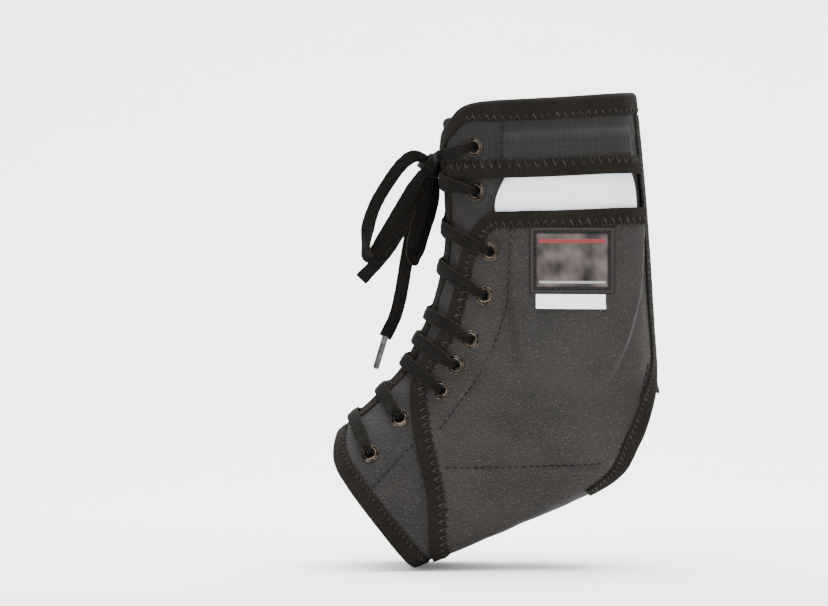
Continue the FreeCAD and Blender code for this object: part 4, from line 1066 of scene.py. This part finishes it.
def makeStays():
    front = evenLine(sideSpots(stay["front"]), 90)
    back = evenLine(sideSpots(stay["back"]), 90)
    v = np.linspace(0, 1, 60)[None, :, None]
    rows = front[:, None] * (1 - v) + back[:, None] * v
    edge = np.minimum(v[0, :, 0], 1 - v[0, :, 0])[None] * 55.0
    bevel = 0.35 * (1 - np.sqrt(np.clip(1 - (1 - np.clip(edge / 2.2, 0, 1)) ** 2, 0, 1)))
    low = stay["low"] + 0 * edge
    made = panelShell(rows, low + 0 * rows[..., 0], low + stay["thick"] - bevel, 8)
    addPair("stayPlate", made, stayPolypropylene, "stay", ("stay_lateral", "stay_medial"))


makeQuarters()
makeCuffs()
makeSidePanels()
makeStays()
print("shell, panels and stays made")

# ---- tapes ----


def pressed(run, far, wide, period):
    # the tape sinks a little at each stitch along its inner edge
    return -0.16 * np.exp(-((far - wide + 0.6) / 1.3) ** 2) * (0.5 + 0.5 * np.cos(2 * math.pi * run / period))


def tapeMesh(one, two, across, run):
    # rows of points across a tape, outside and inside, as a closed mesh
    across = np.stack(across, 1)
    weave = np.stack([run[:, None] + 0 * across, across, 0 * across], -1)
    return sheetMesh(np.stack(one, 1), np.stack(two, 1), weave)


def foldedTape(line, side, wide, low, high, period):
    # a tape folded round an edge, as outer and inner faces
    m = len(line)
    s, t = line[:, 0], line[:, 1]
    inward = inwardOf(line, side)
    run = runs(skin(s, t))
    w = wide(np.linspace(0, 1, m)) if callable(wide) else wide + 0 * s
    top = high(s, t) if callable(high) else high + 0 * s
    gap, thick, fold = layers["tapeGap"], layers["tapeThick"], layers["foldGap"]
    mid, half = (top + low) / 2, (top - low) / 2 + gap
    spots = [(k / 8, walk(line, inward, w * k / 8)) for k in range(8, 0, -1)]
    wave = 0.1 * wobble(run, 0 * run, 6.0, int(run[-1]))
    one, two, across = [], [], []
    for u, q in spots:
        press = pressed(run, w * u, w, period) + wave * 0.6
        topHere = high(q[:, 0], q[:, 1]) if callable(high) else top
        one.append(lift(q[:, 0], q[:, 1], topHere + gap + thick + press))
        two.append(lift(q[:, 0], q[:, 1], topHere + gap + np.minimum(press, 0) * 0.6))
        across.append(w * u)
    p, n = skin(s, t), normals(s, t)
    for k in range(13):
        a = math.pi * k / 12
        for r, dest in ((half + thick + wave * 0.5, one), (half, two)):
            dest.append(p + n * (mid + r * math.cos(a))[:, None] - inward * ((r + fold) * math.sin(a))[:,
                                                                                                       None])
        across.append(0 * s - a * 2.5)
    for u, q in spots[::-1]:
        one.append(lift(q[:, 0], q[:, 1], low - gap - thick + 0 * s))
        two.append(lift(q[:, 0], q[:, 1], low - gap + 0 * s))
        across.append(-8.0 - w * (1 - u))
    return tapeMesh(one, two, across, run)


def flatTape(line, side, wide, period):
    s, t = line[:, 0], line[:, 1]
    inward = inwardOf(line, side)
    run = runs(skin(s, t))
    one, two, across = [], [], []
    wave = 0.1 * wobble(run, 0 * run, 7.0, int(run[-1]))
    for k in range(11):
        u = k / 10
        q = walk(line, inward, wide * u + 0 * s) if k else line
        crown = 0.12 * math.sin(math.pi * u)
        press = pressed(run, wide * u, wide, period) + pressed(run, wide * (1 - u), wide, period * 1.1) * 0.7
        base = skinHigh(q[:, 0], q[:, 1]) + layers["tapeGap"]
        one.append(lift(q[:, 0], q[:, 1], base + layers["tapeThick"] + crown + press + wave))
        two.append(lift(q[:, 0], q[:, 1], base - 0.02))
        across.append(wide * u + 0 * s)
    return tapeMesh(one, two, across, run)


thread = {"radius": 0.2, "seamRadius": 0.34}


def zigzag(line, side, wide, levelOn, levelOff, period, reach, pale=0.75):
    # bartacked zigzag over a tape's inner edge: one straight stitch for each half period
    far = lengthOf(line)
    count = int(far / period * 2) + 1
    spots = evenLine(line, count)
    inward = inwardOf(spots, side)
    w = wide(np.linspace(0, 1, count)) if callable(wide) else np.full(count, float(wide))
    odd = np.arange(count) % 2
    away = w + np.where(odd == 1, reach * 0.5, -reach * 0.85)
    q = walk(spots, inward, away)
    on = lift(q[:, 0], q[:, 1], levelOn(q[:, 0], q[:, 1]))
    off = lift(q[:, 0], q[:, 1], levelOff(q[:, 0], q[:, 1]))
    ends = np.where(odd[:, None] == 1, off, on)
    edge = walk(spots, inward, w)
    n = normals(edge[:, 0], edge[:, 1])
    a, b = ends[:-1], ends[1:]
    lines, shades = [], []
    for u in (0.0, 0.12, 0.35, 0.58, 0.8, 1.0):
        arch = 0.26 * math.sin(math.pi * min(1.0, max(0.0, u))) - (0.3 if u in (0.0, 1.0) else 0)
        onShare = np.where(odd[:-1] == 1, u, 1 - u)
        level = a * (1 - u) + b * u + n[:-1] * (arch + 0.22 * onShare)[:, None]
        lines.append(level)
        shades.append(np.clip(onShare * 1.6 - 0.3, 0, 1) * pale)
    lines, shades = np.stack(lines, 1), np.stack(shades, 1)
    # painted highlight: the stitches of one slant keep their full pale share and the other slant only a third
    # of it, as if one slant caught the light more; the pale share also varies at random from stitch to stitch
    shades = shades * np.where(odd[:-1] == 1, 1.0, 0.35)[:, None] * rng.uniform(0.35, 1.1, (len(shades), 1))
    lines = lines + rng.normal(0, 0.12, (len(lines), 1, 3)) * (1, 0.3, 1)
    return threadTubes(lines, np.clip(shades, 0, 1))


def threadTubes(lines, shades, radius=thread["radius"]):
    verts, faces = tubes(lines, radius)
    m = lines.shape[1]
    far = np.linspace(0, 3, m)[None, :, None] + 7.3 * np.arange(len(lines))[:, None, None]
    weave = np.stack(np.broadcast_arrays(far, 0.4 * np.arange(6)[None, None], 0.0 * far), -1)
    pale = np.repeat(shades[..., None], 6, axis=2)
    return verts, turnedOut(verts, faces), {"weave": weave.reshape(-1, 3), "pale": pale.ravel()}


def running(line, level, length=2.7, space=0.5, pale=0.0, radius=thread["seamRadius"]):
    # single-needle stitches in a row
    far = lengthOf(line)
    count = int(far / (length + space))
    spots = evenLine(line, count * 8 + 1)
    p = lift(spots[:, 0], spots[:, 1], level(spots[:, 0], spots[:, 1]))
    n = normals(spots[:, 0], spots[:, 1])
    dip = np.array([-0.3, 0.05, 0.16, 0.18, 0.12, -0.1, -0.35])
    index = np.arange(count)[:, None] * 8 + np.arange(7)[None]
    lines = p[index] + n[index] * dip[None, :, None]
    return threadTubes(lines, np.full(lines.shape[:2], pale), radius)


skinEdge = layers["skinFlat"] + layers["skinThick"]
cuffLow = cuffLowLine(30)
cuffS = cuffLow[0, 0]
bottomOf = layers["quarterIn"]
tapeTop = layers["tapeThick"] + layers["tapeGap"]


def frontHigh(s, t):
    return layers["quarterOut"] + (layers["skinGap"] + layers["skinThick"]) * smooth((cuffS + 4.0 - s) / 3.0)


def edgeTop(s, t):
    return skinEdge + tapeTop + 0 * s


def topWide(u):
    return tapes["top"] - (tapes["top"] - tapes["front"]) * smooth((u - 0.75) / 0.25)


stitches = []


def makeBindings():
    line = evenLine(rim[:corner + 1], 220, 0.0, 0.15)
    made = foldedTape(line, 1, topWide, bottomOf, skinEdge, 3.6)
    addPair("topBinding", made, bindingTape, "top_binding")
    stitches.append(zigzag(evenLine(line, 90, 0, 4.0), 1, topWide, edgeTop, skinHigh, 3.6, 2.8))
    line = evenLine(rim[corner:], 420, 0.15, tapes["toe"] + 1.0)
    made = foldedTape(line, 1, tapes["front"], bottomOf, frontHigh, 2.9)
    addPair("frontBinding", made, bindingTape, "front_binding")
    stitches.append(zigzag(evenLine(line, 200, 5.0, 3.0), 1, tapes["front"],
                           lambda s, t: frontHigh(s, t) + tapeTop, lambda s, t: frontHigh(s, t) + 0.1,
                           2.9, 2.6, 0.25))
    heelStop = fromSide(26.0, -53.5)[0]
    part = backEdge[backEdge[:, 0] < heelStop]
    line = evenLine(part[::3], 360, tapes["top"] + 1.5, 0.0)
    made = foldedTape(line, -1, tapes["back"], bottomOf, skinEdge, 2.6)
    addPair("backBinding", made, bindingTape, "back_binding")
    stitches.append(zigzag(evenLine(line, 160, 2.0, 2.0), -1, tapes["back"],
                           edgeTop, skinHigh, 2.6, 2.4, 0.6))
    line = evenLine(toeEdge[::3], 130)
    made = foldedTape(line, 1, tapes["toe"], bottomOf, layers["quarterOut"], 2.8)
    addPair("toeBinding", made, bindingTape, "toe_binding")
    stitches.append(zigzag(evenLine(line, 60, 6.0, 1.0), 1, tapes["toe"],
                           lambda s, t: layers["quarterOut"] + tapeTop + 0 * s,
                           lambda s, t: layers["quarterOut"] + 0.25 + 0 * s, 2.8, 2.6, 0.5))


def makeFlatTapes():
    line = evenLine(cuffLow, 200, tapes["front"] + 0.5, tapes["back"] + 0.8)
    made = flatTape(line, 1, tapes["cuff"], 4.2)
    addPair("cuffTape", made, bindingTape, "cuff_tape")
    stitches.append(zigzag(evenLine(line, 90, 1.0, 1.0), 1, tapes["cuff"],
                           lambda s, t: skinHigh(s, t) + tapeTop + 0.1, lambda s, t: skinHigh(s, t) + 0.1,
                           4.2, 4.0))
    f, b, top, bottom = pocketLines()
    line = evenLine(np.concatenate([top[::-6][:-1], f[::4]]), 420, tapes["back"] + 0.8, 0.0)
    made = flatTape(line, 1, tapes["pocket"], 3.8)
    addPair("pocketTape", made, bindingTape, "pocket_tape")
    stitches.append(zigzag(evenLine(line, 200, 1.0, 1.0), 1, tapes["pocket"],
                           lambda s, t: skinHigh(s, t) + tapeTop + 0.1, lambda s, t: skinHigh(s, t) + 0.25,
                           3.8, 3.4))


makeBindings()
makeFlatTapes()
for key, level in (("panelCurve", -0.28), ("solePanel", -0.28), ("heelMark", -0.28), ("cuffFront", -0.2)):
    stitches.append(running(seamLine(key), lambda s, t, k=level: skinHigh(s, t) + k + 0.1))
stitches.append(running(seamLine("footCurve"), lambda s, t: layers["quarterOut"] + 0 * s))
addPair("stitching", joined(stitches), sewingThread)
print("tapes and stitching made")

# ---- tongue, elastic and sole ----


def tongueRise(s, t):
    return 3.4 * smooth((34.0 - s) / 30.0) * smooth((0.17 - np.abs(t)) / 0.12)


def tongueRows(s0, s1, count, across):
    s = np.linspace(s0, s1, count)
    half = 33.0 - 5.0 * smooth((s - fan[4]) / (fan[9] - fan[4]))
    cornerCut = 9.0 * (1 - smooth((s - s0) / 16.0))
    girth = np.linalg.norm(slopes(s, 0.5 + 0 * s)[1], axis=-1)
    t = (half - cornerCut) / girth
    v = np.linspace(-1, 1, across)
    return np.stack([s[:, None] + 0 * v[None], -t[:, None] * v[None]], -1)


tongueEnds = (9.0, fan[9] - 4.0)


def makeTongue():
    rows = tongueRows(*tongueEnds, 200, 80)
    s, t = rows[..., 0], rows[..., 1]
    v = np.linspace(-1, 1, 80)[None] + 0 * s
    # stuffed foam: crowned between two sewn channels, thin at its rim
    crown = 0.35 * np.cos(math.pi * v * 1.5) ** 2 + 0.1 * wobble(s, v * 30, 16.0, 31)
    channel = -0.9 * np.exp(-((np.abs(v) - 0.36) * 26.0 / 1.1) ** 2)
    rim0 = smooth((1 - np.abs(v)) * 33.0 / 4.0)
    high = layers["tongueOut"] + tongueRise(s, t) + (crown + channel) * rim0 - 0.9 * (1 - rim0) - 0.35
    low = layers["tongueOut"] - layers["tongueThick"] + tongueRise(s, t) + 0.5 * (1 - rim0)
    piece = addMesh("tonguePad", panelShell(rows, low, high, 6), tongueCloth, "tongue",
                    ["tongue"])


def makeTongueBinding():
    line = tongueRows(*tongueEnds, 26, 160)[0]
    s, t = line[:, 0], line[:, 1]
    thick, gap = layers["tapeThick"], layers["tapeGap"]
    up = unit(-slopes(s, t)[0])
    p, n = skin(s, t), normals(s, t)
    rise = tongueRise(s, t)
    out, inn = layers["tongueOut"], layers["tongueOut"] - layers["tongueThick"]
    mid, deep = (out + inn) / 2 + rise, layers["tongueThick"] / 2 + gap
    one, two = [], []
    for k in range(6, 0, -1):
        level = out + tongueRise(s + k, t) + gap
        one.append(lift(s + k, t, level + thick))
        two.append(lift(s + k, t, level))
    for k in range(13):
        a = math.pi * k / 12
        one.append(p + n * (mid + (deep + thick) * math.cos(a))[:, None] + up * (deep + thick) * math.sin(a))
        two.append(p + n * (mid + deep * math.cos(a))[:, None] + up * deep * math.sin(a))
    for k in range(1, 7):
        level = inn + tongueRise(s + k, t) - gap
        one.append(lift(s + k, t, level - thick))
        two.append(lift(s + k, t, level))
    made = tapeMesh(one, two, [k + 0 * s for k in range(len(one))], runs(p))
    addMesh("tongueBinding", made, bindingTape, "tongue", ["tongue_binding"])


def makeElastic():
    s = np.linspace(fromSide(47.0, outline["top"] + 4.0)[0], fromSide(57.0, -3.5)[0], 220)
    reach = (skinEdge - bottomOf) / 2 + layers["tapeGap"] + layers["tapeThick"] + layers["foldGap"]
    # its edges run on into the folded tapes, where they are caught by the stitching
    caught = 1.4
    a = fromWidth(s, outline["achillesHalf"] - reach + caught, True)[:, 1]
    v = np.linspace(0, 1, 50)[None]
    t = a[:, None] + (2 - 2 * a[:, None]) * v
    t = np.where(t > 1, t - 2, t)
    rows = np.stack([s[:, None] + 0 * t, t], -1)
    mid = (layers["quarterIn"] + layers["quarterOut"]) / 2
    rib = 0.2 * np.cos(2 * math.pi * v * 9) + 0.08 * np.cos(2 * math.pi * s[:, None] / 2.2)
    made = panelShell(rows, mid - 0.7 + 0 * t, mid + 0.55 + rib, 6)
    addMesh("achillesElastic", made, elasticWeb, "brace", ["achilles_elastic"])


def makeSole():
    start, end = np.array([25.5, -54.9]), np.array([-55.5, -54.9 + (-55.5 - 25.5) * 0.4165])
    way = (end - start) / np.linalg.norm(end - start)
    far = np.linalg.norm(end - start)
    way3 = np.array([way[0], 0, way[1]])
    down = np.array([-way[1], 0, way[0]])
    down = -down if down[2] > 0 else down
    u = np.linspace(0, 1, 120)[:, None]
    v = np.linspace(-1, 1, 70)[None]
    pull = 5.0 * (1 - smooth(np.minimum(u, 1 - u) * far / 5.0))
    y = v * (outline["soleHalf"] - pull) + 0 * u
    base = np.array([start[0], 0, start[1]]) + way3 * (u * far)[..., None]
    base = base + np.array([0, 1, 0]) * y[..., None]
    rib = 0.14 * np.cos(2 * math.pi * u * far / 3.2) * np.ones_like(v)
    rimDip = 0.5 * (1 - smooth((1 - np.abs(v)) * 22 / 2.5)) + 0 * u
    outer = base + down * (layers["quarterOut"] - 0.12 + rib * 0.8 - rimDip)[..., None]
    inner = base + down * (layers["quarterIn"] + 0 * y)[..., None]
    made = sheetMesh(outer, inner, np.stack([y, u * far + 0 * y, 0 * y], -1), 6)
    addMesh("solePanel", made, soleWeb, "brace", ["sole_panel"])


makeTongue()
makeTongueBinding()
makeElastic()
makeSole()
print("tongue, elastic and sole made")

# ---- eyelets ----


def ringMesh(profile, around, place, n):
    # a turned ring: profile of radius and height, at a place with its axis
    side = unit(np.cross(n, (0.13, 0.2, 0.97)))
    up = np.cross(n, side)
    profile = np.asarray(profile)
    a = np.arange(around) * 2 * math.pi / around
    ring = (place + profile[:, 1][:, None, None] * n
            + profile[:, 0][:, None, None] * (side * np.cos(a)[None, :, None] + up * np.sin(a)[None, :,
                                                                                               None]))
    m = len(profile)
    index = np.arange(m * around).reshape(m, around)
    nxt = np.roll(index, -1, axis=1)
    after = np.roll(index, -1, axis=0)
    afterNxt = np.roll(nxt, -1, axis=0)
    faces = np.stack([index, nxt, afterNxt, after], -1).reshape(-1, 4)
    verts = ring.reshape(-1, 3)
    return verts, turnedOut(verts, faces)


def makeEyelets():
    rings, washers = [], []
    for (x, z), covered in zip(eyelets["spots"], eyelets["covered"]):
        s, t = fromSide(x, z)
        base = (float(skinHigh(s, t)) if covered else layers["quarterOut"]) + 0.1
        foot = layers["quarterIn"] - 0.75
        hole, rim0 = eyelets["hole"], eyelets["rim"]
        # the rolled lip: an outer bead, a shallow trough and an inner bead that turns down the throat
        profile = [(hole + 0.06, foot), (hole + 0.38, foot), (hole + 0.4, base)]
        for k in range(11):
            a = math.pi * 1.35 * k / 10
            profile.append((rim0 - 0.3 + 0.3 * math.sin(a), base + 0.3 - 0.3 * math.cos(a)))
        profile.append(((rim0 + hole) / 2 + 0.2, base + 0.2))
        for k in range(11):
            a = math.pi * 0.2 + math.pi * 0.8 * k / 10
            profile.append((hole + 0.5 + 0.5 * math.cos(a), base + 0.3 + 0.5 * math.sin(a)))
        profile.append((hole + 0.02, base - 0.3))
        n = normals(s, t)
        rings.append((*ringMesh(profile, 72, skin(s, t), n), {}))
        low = layers["quarterIn"] - 0.65
        disc = [(2.95, low), (4.0, low), (4.17, low + 0.12), (4.2, low + 0.3), (4.1, low + 0.5),
                (2.95, low + 0.5)]
        washers.append((*ringMesh(disc, 48, skin(s, t), n), {}))
    addPair("eyeletRings", joined(rings), rolledBrass, "eyelets")
    addPair("eyeletWashers", joined(washers), platedSteel, "eyelet_washers", sharp=35.0)


makeEyelets()

# ---- the lace through the eyelets ----

lacing = {
    # distance from the eyelet, offset and how far the lace is folded
    "outSteps": [(0.95, -1.5, 1.1), (0.95, -0.2, 1.1), (1.1, 1.2, 1.1), (1.9, 2.6, 0.95), (3.6, 3.2, 0.6),
                 (6.0, 2.75, 0.2)],
    "inSteps": [(6.5, -5.1, 0.1), (3.8, -5.1, 0.6), (1.8, -4.9, 0.9), (0.4, -4.1, 1), (0.0, -3.0, 1),
                (0.0, -1.75, 1)],
    "climb": [0, 0, 2.0, 9.0, 7.5, 4.5, 6.5, 5.0, 0],
    "high": [(-60, 1.95), (-16.5, 1.95), (-12.2, 1.6), (-8.0, -0.8), (0, -1.8), (6.0, -2.8), (11.0, -5.0),
             (60, -5.0)],
    "low": [(-60, 1.95), (-16.5, 1.95), (-12.2, 1.6), (-8.0, -2.6), (0, -4.2), (6.0, -4.6), (11.0, -5.0),
            (60, -5.0)],
}


def eyeletSpot(i, side):
    s, t = fromSide(*eyelets["spots"][i])
    return np.array([s, t * side])


def drawn(path, sides, wides, thicks, seed):
    table = np.concatenate([path, sides, np.array(wides)[:, None], np.array(thicks)[:, None]], 1)
    count = max(60, int(runs(np.asarray(path))[-1] / 0.45))
    table = bsplineThrough(table, count)
    return laceStrip(table[:, :3], table[:, 3:6], table[:, 6], table[:, 7], seed)


def foldedSize(folded, flat, fold):
    # fold is 0 where the lace lies flat and 1 where it is folded into a hole
    return lace[flat] + (lace[folded] - lace[flat]) * fold


def rung(i, j, side, over):
    one, two = eyeletSpot(i, side), eyeletSpot(j, -side)
    u = np.linspace(0, 1, 201)
    fine = one + (two - one) * u[:, None]
    # the lace climbs along the flap before it crosses the gap
    fine[:, 0] -= lacing["climb"][i] * 1.6 * np.sin(math.pi * u) * (1 - u)
    far = runs(skin(fine[:, 0], fine[:, 1]))
    total = far[-1]
    table = np.array(lacing["high" if over else "low"])

    def place(run):
        run = min(max(run, 0.0), total)
        return np.array([np.interp(run, far, fine[:, 0]), np.interp(run, far, fine[:, 1])])
    stations = list(lacing["outSteps"])
    for run in np.linspace(9.0, total - 9.5, 25):
        q = place(run)
        y = skin(q[0], q[1])[1] * side * outline["halfGap"] / gapAt(q[0])
        stations.append((run, float(np.interp(y, table[:, 0], table[:, 1])), 0))
    stations += [(total - d, h, f) for d, h, f in lacing["inSteps"]]
    path, sides, wides, thicks = [], [], [], []
    for run, d, fold in stations:
        q = place(run)
        a, b = place(max(run - 1.5, 0.0)), place(min(run + 1.5, total))
        way = unit(skin(b[0], b[1]) - skin(a[0], a[1]))
        n = normals(q[0], q[1])
        path.append(skin(q[0], q[1]) + n * d)
        sides.append(np.cross(n, way))
        wides.append(foldedSize("foldedWide", "wide", fold))
        thicks.append(foldedSize("foldedThick", "thick", fold))
    return drawn(np.array(path), np.array(sides), wides, thicks, i * 2 + side)


def bottomBar():
    s0, t0 = eyeletSpot(8, 1)
    girth = float(np.linalg.norm(slopes(s0, 0.5)[1]))
    total = abs(t0) * 2 * girth * 0.86
    spots = [(d, h, f) for d, h, f in lacing["inSteps"][::-1]]
    spots += [(9.5 + (total - 19.0) * k / 14, -5.0, 0) for k in range(15)]
    spots += [(total - d, h, f) for d, h, f in lacing["inSteps"]]
    path, sides, wides, thicks = [], [], [], []
    for run, d, fold in spots:
        t = t0 - 2 * t0 * run / total
        n = normals(s0, t)
        path.append(skin(s0, t) + n * d)
        sides.append(np.cross(n, (0.0, 1.0, 0.0)))
        wides.append(foldedSize("foldedWide", "wide", fold))
        thicks.append(foldedSize("foldedThick", "thick", fold))
    return drawn(np.array(path), np.array(sides), wides, thicks, 40)


def topStrand(side):
    s, t = eyeletSpot(0, side)
    n, p = normals(s, t), skin(s, t)
    half = bow["knotHalf"][1]
    goal = np.array(bow["knot"]) + (1.2, -side * (half + 0.5) * 0.6, 0.6)
    way = goal - p
    way = unit(way - n * (way @ n))
    path, sides, wides, thicks = [], [], [], []
    for far, d, fold in lacing["outSteps"]:
        path.append(p + way * far + n * d)
        sides.append(np.cross(n, way))
        wides.append(foldedSize("foldedWide", "wide", fold))
        thicks.append(foldedSize("foldedThick", "thick", fold))
    sMid, tMid = fromSide(-37.0, 107.5)
    mid = skin(sMid, tMid * side) + normals(sMid, tMid * side) * 2.25
    q = fromWidth(sMid, 14.0, False)
    edge = skin(q[0], q[1] * side) + normals(sMid, 0.12 * side) * 2.65
    knots = np.array([path[-1], mid, edge, goal])
    spline = naturalSpline(runs(knots), knots)
    for k in range(1, 14):
        mix = k / 13
        path.append(spline(runs(knots)[-1] * mix))
        sides.append(np.cross(n, way) * (1 - mix) + np.array((0, 0, side * 1.0)) * mix)
        wides.append(lace["wide"] - 1.2 * mix)
        thicks.append(lace["thick"])
    return drawn(np.array(path), np.array(sides), wides, thicks, 50 + side)


def makeLacing():
    rows = {1: [], -1: []}
    for i in range(8, 0, -1):
        for side in (1, -1):
            rows[side].append(rung(i, i - 1, side, (i % 2 == 0) == (side == 1)))
    for side, name in ((1, "lateral"), (-1, "medial")):
        addMesh("laceRungs_" + name, joined(rows[side]), laceBraid, "brace",
                ["lace_rungs_" + name])
    addMesh("laceBottomBar", bottomBar(), laceBraid, "brace", ["lace_bottom_bar"])
    strands = joined([topStrand(1), topStrand(-1)])
    addMesh("laceTopStrands", strands, laceBraid, "brace", ["lace_top_strands"])


def wrap(centre, axisOne, axisTwo, radii, start, end, lean, wide, seed):
    # one turn of lace round the knot, in the plane of two axes
    a = np.linspace(start, end, 90)
    one, two = np.array(axisOne, float), np.array(axisTwo, float)
    third = np.cross(one, two)
    path = (np.array(centre) + one * (radii[0] * np.cos(a))[:, None]
            + two * (radii[1] * np.sin(a))[:, None] + third * (lean * np.sin(a))[:, None])
    return laceStrip(path, third + 0 * path, wide + 0 * a, 1.5 + 0 * a, seed)


def knotCore(c, half, seed):
    # the middle of the knot: a lumpy oval with grooves where the turns press in
    a = np.linspace(0.02, math.pi - 0.02, 40)[:, None]
    b = (np.arange(60) * 2 * math.pi / 60)[None]
    r = 1 + 0.07 * np.sin(5 * b + 3 * np.cos(a)) + 0.05 * np.cos(9 * a)
    p = np.stack([half[0] * r * np.sin(a) * np.cos(b), half[1] * np.cos(a) * r,
                  half[2] * r * np.sin(a) * np.sin(b)], -1) + np.array(c)
    verts = p.reshape(-1, 3)
    weave = np.stack([a * 6 + 0 * b, b * 4 + 0 * a, seed + 0 * a + 0 * b], -1).reshape(-1, 3)
    return verts, turnedOut(verts, closedTube(40, 60)), {"weave": weave, "pale": np.zeros(len(verts))}


def makeKnot():
    c = np.array(bow["knot"]) + (-0.2, 0, -0.6)
    # the middle, two straps that cross over it, and a third tucked underneath
    parts = [
        knotCore(c, (4.3, 7.0, 5.7), 60),
        wrap(c, (0, 1, 0), unit(np.array((0.5, 0, 0.86))), (7.5, 6.3), 0.0, 2 * math.pi * 0.985, 0.9, 5.6,
             61),
        wrap(c + (-0.4, 0, -0.8), (0, 1, 0), unit(np.array((-0.75, 0, 0.66))), (7.0, 5.2), 0.3,
             2 * math.pi * 0.98, -0.8, 5.0, 62),
        wrap(c + (0.4, 0, -2.6), unit(np.array((1, 0.3, 0.0))), (0, 1, 0), (5.0, 6.4), 0.0,
             2 * math.pi * 0.98, 0.8, 4.2, 63),
    ]
    addMesh("laceKnot", joined(parts), laceBraid, "brace", ["lace_knot"])


makeLacing()
makeKnot()
print("eyelets and lacing made")

# ---- labels ----

label = {"left": -1.4, "right": 37.4, "top": 73.0, "low": 41.4, "wide": 38.8, "tall": 31.6, "thick": 0.4,
         "off": 0.12, "smoke": 0.8,
         "redBar": (6.0, 7.6), "greyBar": (25.6, 26.6), "barEnds": (4.5, 34.4)}


def sideGrid(x0, x1, z1, z0, across, down):
    z = np.linspace(z1, z0, down)[:, None] + np.zeros(across)[None]
    x = np.linspace(x0, x1, across)[None] + np.zeros(down)[:, None]
    return fromSide(x, z), x, z


def makeLabel():
    rows, x, z = sideGrid(label["left"], label["right"], label["top"], label["low"], 120, 100)
    s, t = rows[..., 0], rows[..., 1]
    u, v = x - label["left"], label["top"] - z
    edge = np.minimum(np.minimum(u, label["wide"] - u), np.minimum(v, label["tall"] - v))
    lipped = 0.12 * smooth(edge / 0.8) * (1 - smooth((edge - 1.5) / 0.8))
    sewn = -0.14 * np.exp(-((edge - 2.4) / 0.4) ** 2)
    high = skinHigh(s, t) + label["off"] + label["thick"] + lipped + sewn + 0.1 * wobble(x, z, 18.0, 71)
    low = skinHigh(s, t) + label["off"] - 0.1
    outer, inner = lift(s, t, high), lift(s, t, low)
    weave = np.stack([u, v, 0 * u], -1)
    # the woven ground is smoky: soft grey clouds on black, inside a plain black border
    cloud = 0.4 + 0.32 * wobble(x, z, 15.0, 73) + 0.1 * wobble(x, z, 5.0, 74)
    pale = 0.12 * ((edge > 0.5) & (edge < 1.7)) + label["smoke"] * np.clip(cloud, 0,
                                                                           1) * smooth((edge - 2.6) / 1.5)
    made = sheetMesh(outer, inner, weave, pale=pale.astype(float))
    addMesh("labelPatch", made, labelSatin, "brace", ["label_patch"])
    for name, span, finish in (("labelBarRed", label["redBar"], barRed),
                               ("labelBarGrey", label["greyBar"], barGrey)):
        a, b = label["barEnds"]
        rows, x, z = sideGrid(label["left"] + a, label["left"] + b, label["top"] - span[0],
                              label["top"] - span[1], 90, 8)
        s, t = rows[..., 0], rows[..., 1]
        base = skinHigh(s, t) + label["off"] + label["thick"] + 0.1 * wobble(x, z, 18.0, 71)
        outer, inner = lift(s, t, base + 0.12), lift(s, t, base - 0.1)
        made = sheetMesh(outer, inner, np.stack([x, z, 0 * x], -1))
        addMesh(name, made, finish, "brace")
    # lockstitches round the border
    inset = 2.4
    cornersAt = [(label["left"] + inset, label["top"] - inset),
                 (label["right"] - inset, label["top"] - inset),
                 (label["right"] - inset, label["low"] + inset),
                 (label["left"] + inset, label["low"] + inset)]
    rowsOf = []
    for (xa, za), (xb, zb) in zip(cornersAt, cornersAt[1:] + cornersAt[:1]):
        k = np.linspace(0, 1, 24)
        line = fromSide(xa + (xb - xa) * k, za + (zb - za) * k)
        rowsOf.append(running(line, lambda s, t: skinHigh(s, t) + 0.52, 1.9, 0.7, 0.2, 0.2))
    addMesh("labelStitching", joined(rowsOf), sewingThread, "brace")


def makeCareLabel():
    z1, z0 = 41.0, 34.2
    rows, x, z = sideGrid(1.6, 33.0, z1, z0, 90, 30)
    s, t = rows[..., 0], rows[..., 1]
    down = (z1 - z) / (z1 - z0)
    curl = 0.5 * down ** 2 * (1 + 0.5 * np.sin(x / 5.2)) + 0.12 * wobble(x, z, 9.0, 72)
    high = skinHigh(s, t) + 0.62 + np.maximum(curl, 0)
    outer, inner = lift(s, t, high), lift(s, t, high - 0.25)
    made = sheetMesh(outer, inner, np.stack([x, z, 0 * x], -1))
    addMesh("careTag", made, careSatin, "care_label", ["care_label"])


makeLabel()
makeCareLabel()
print("labels made")
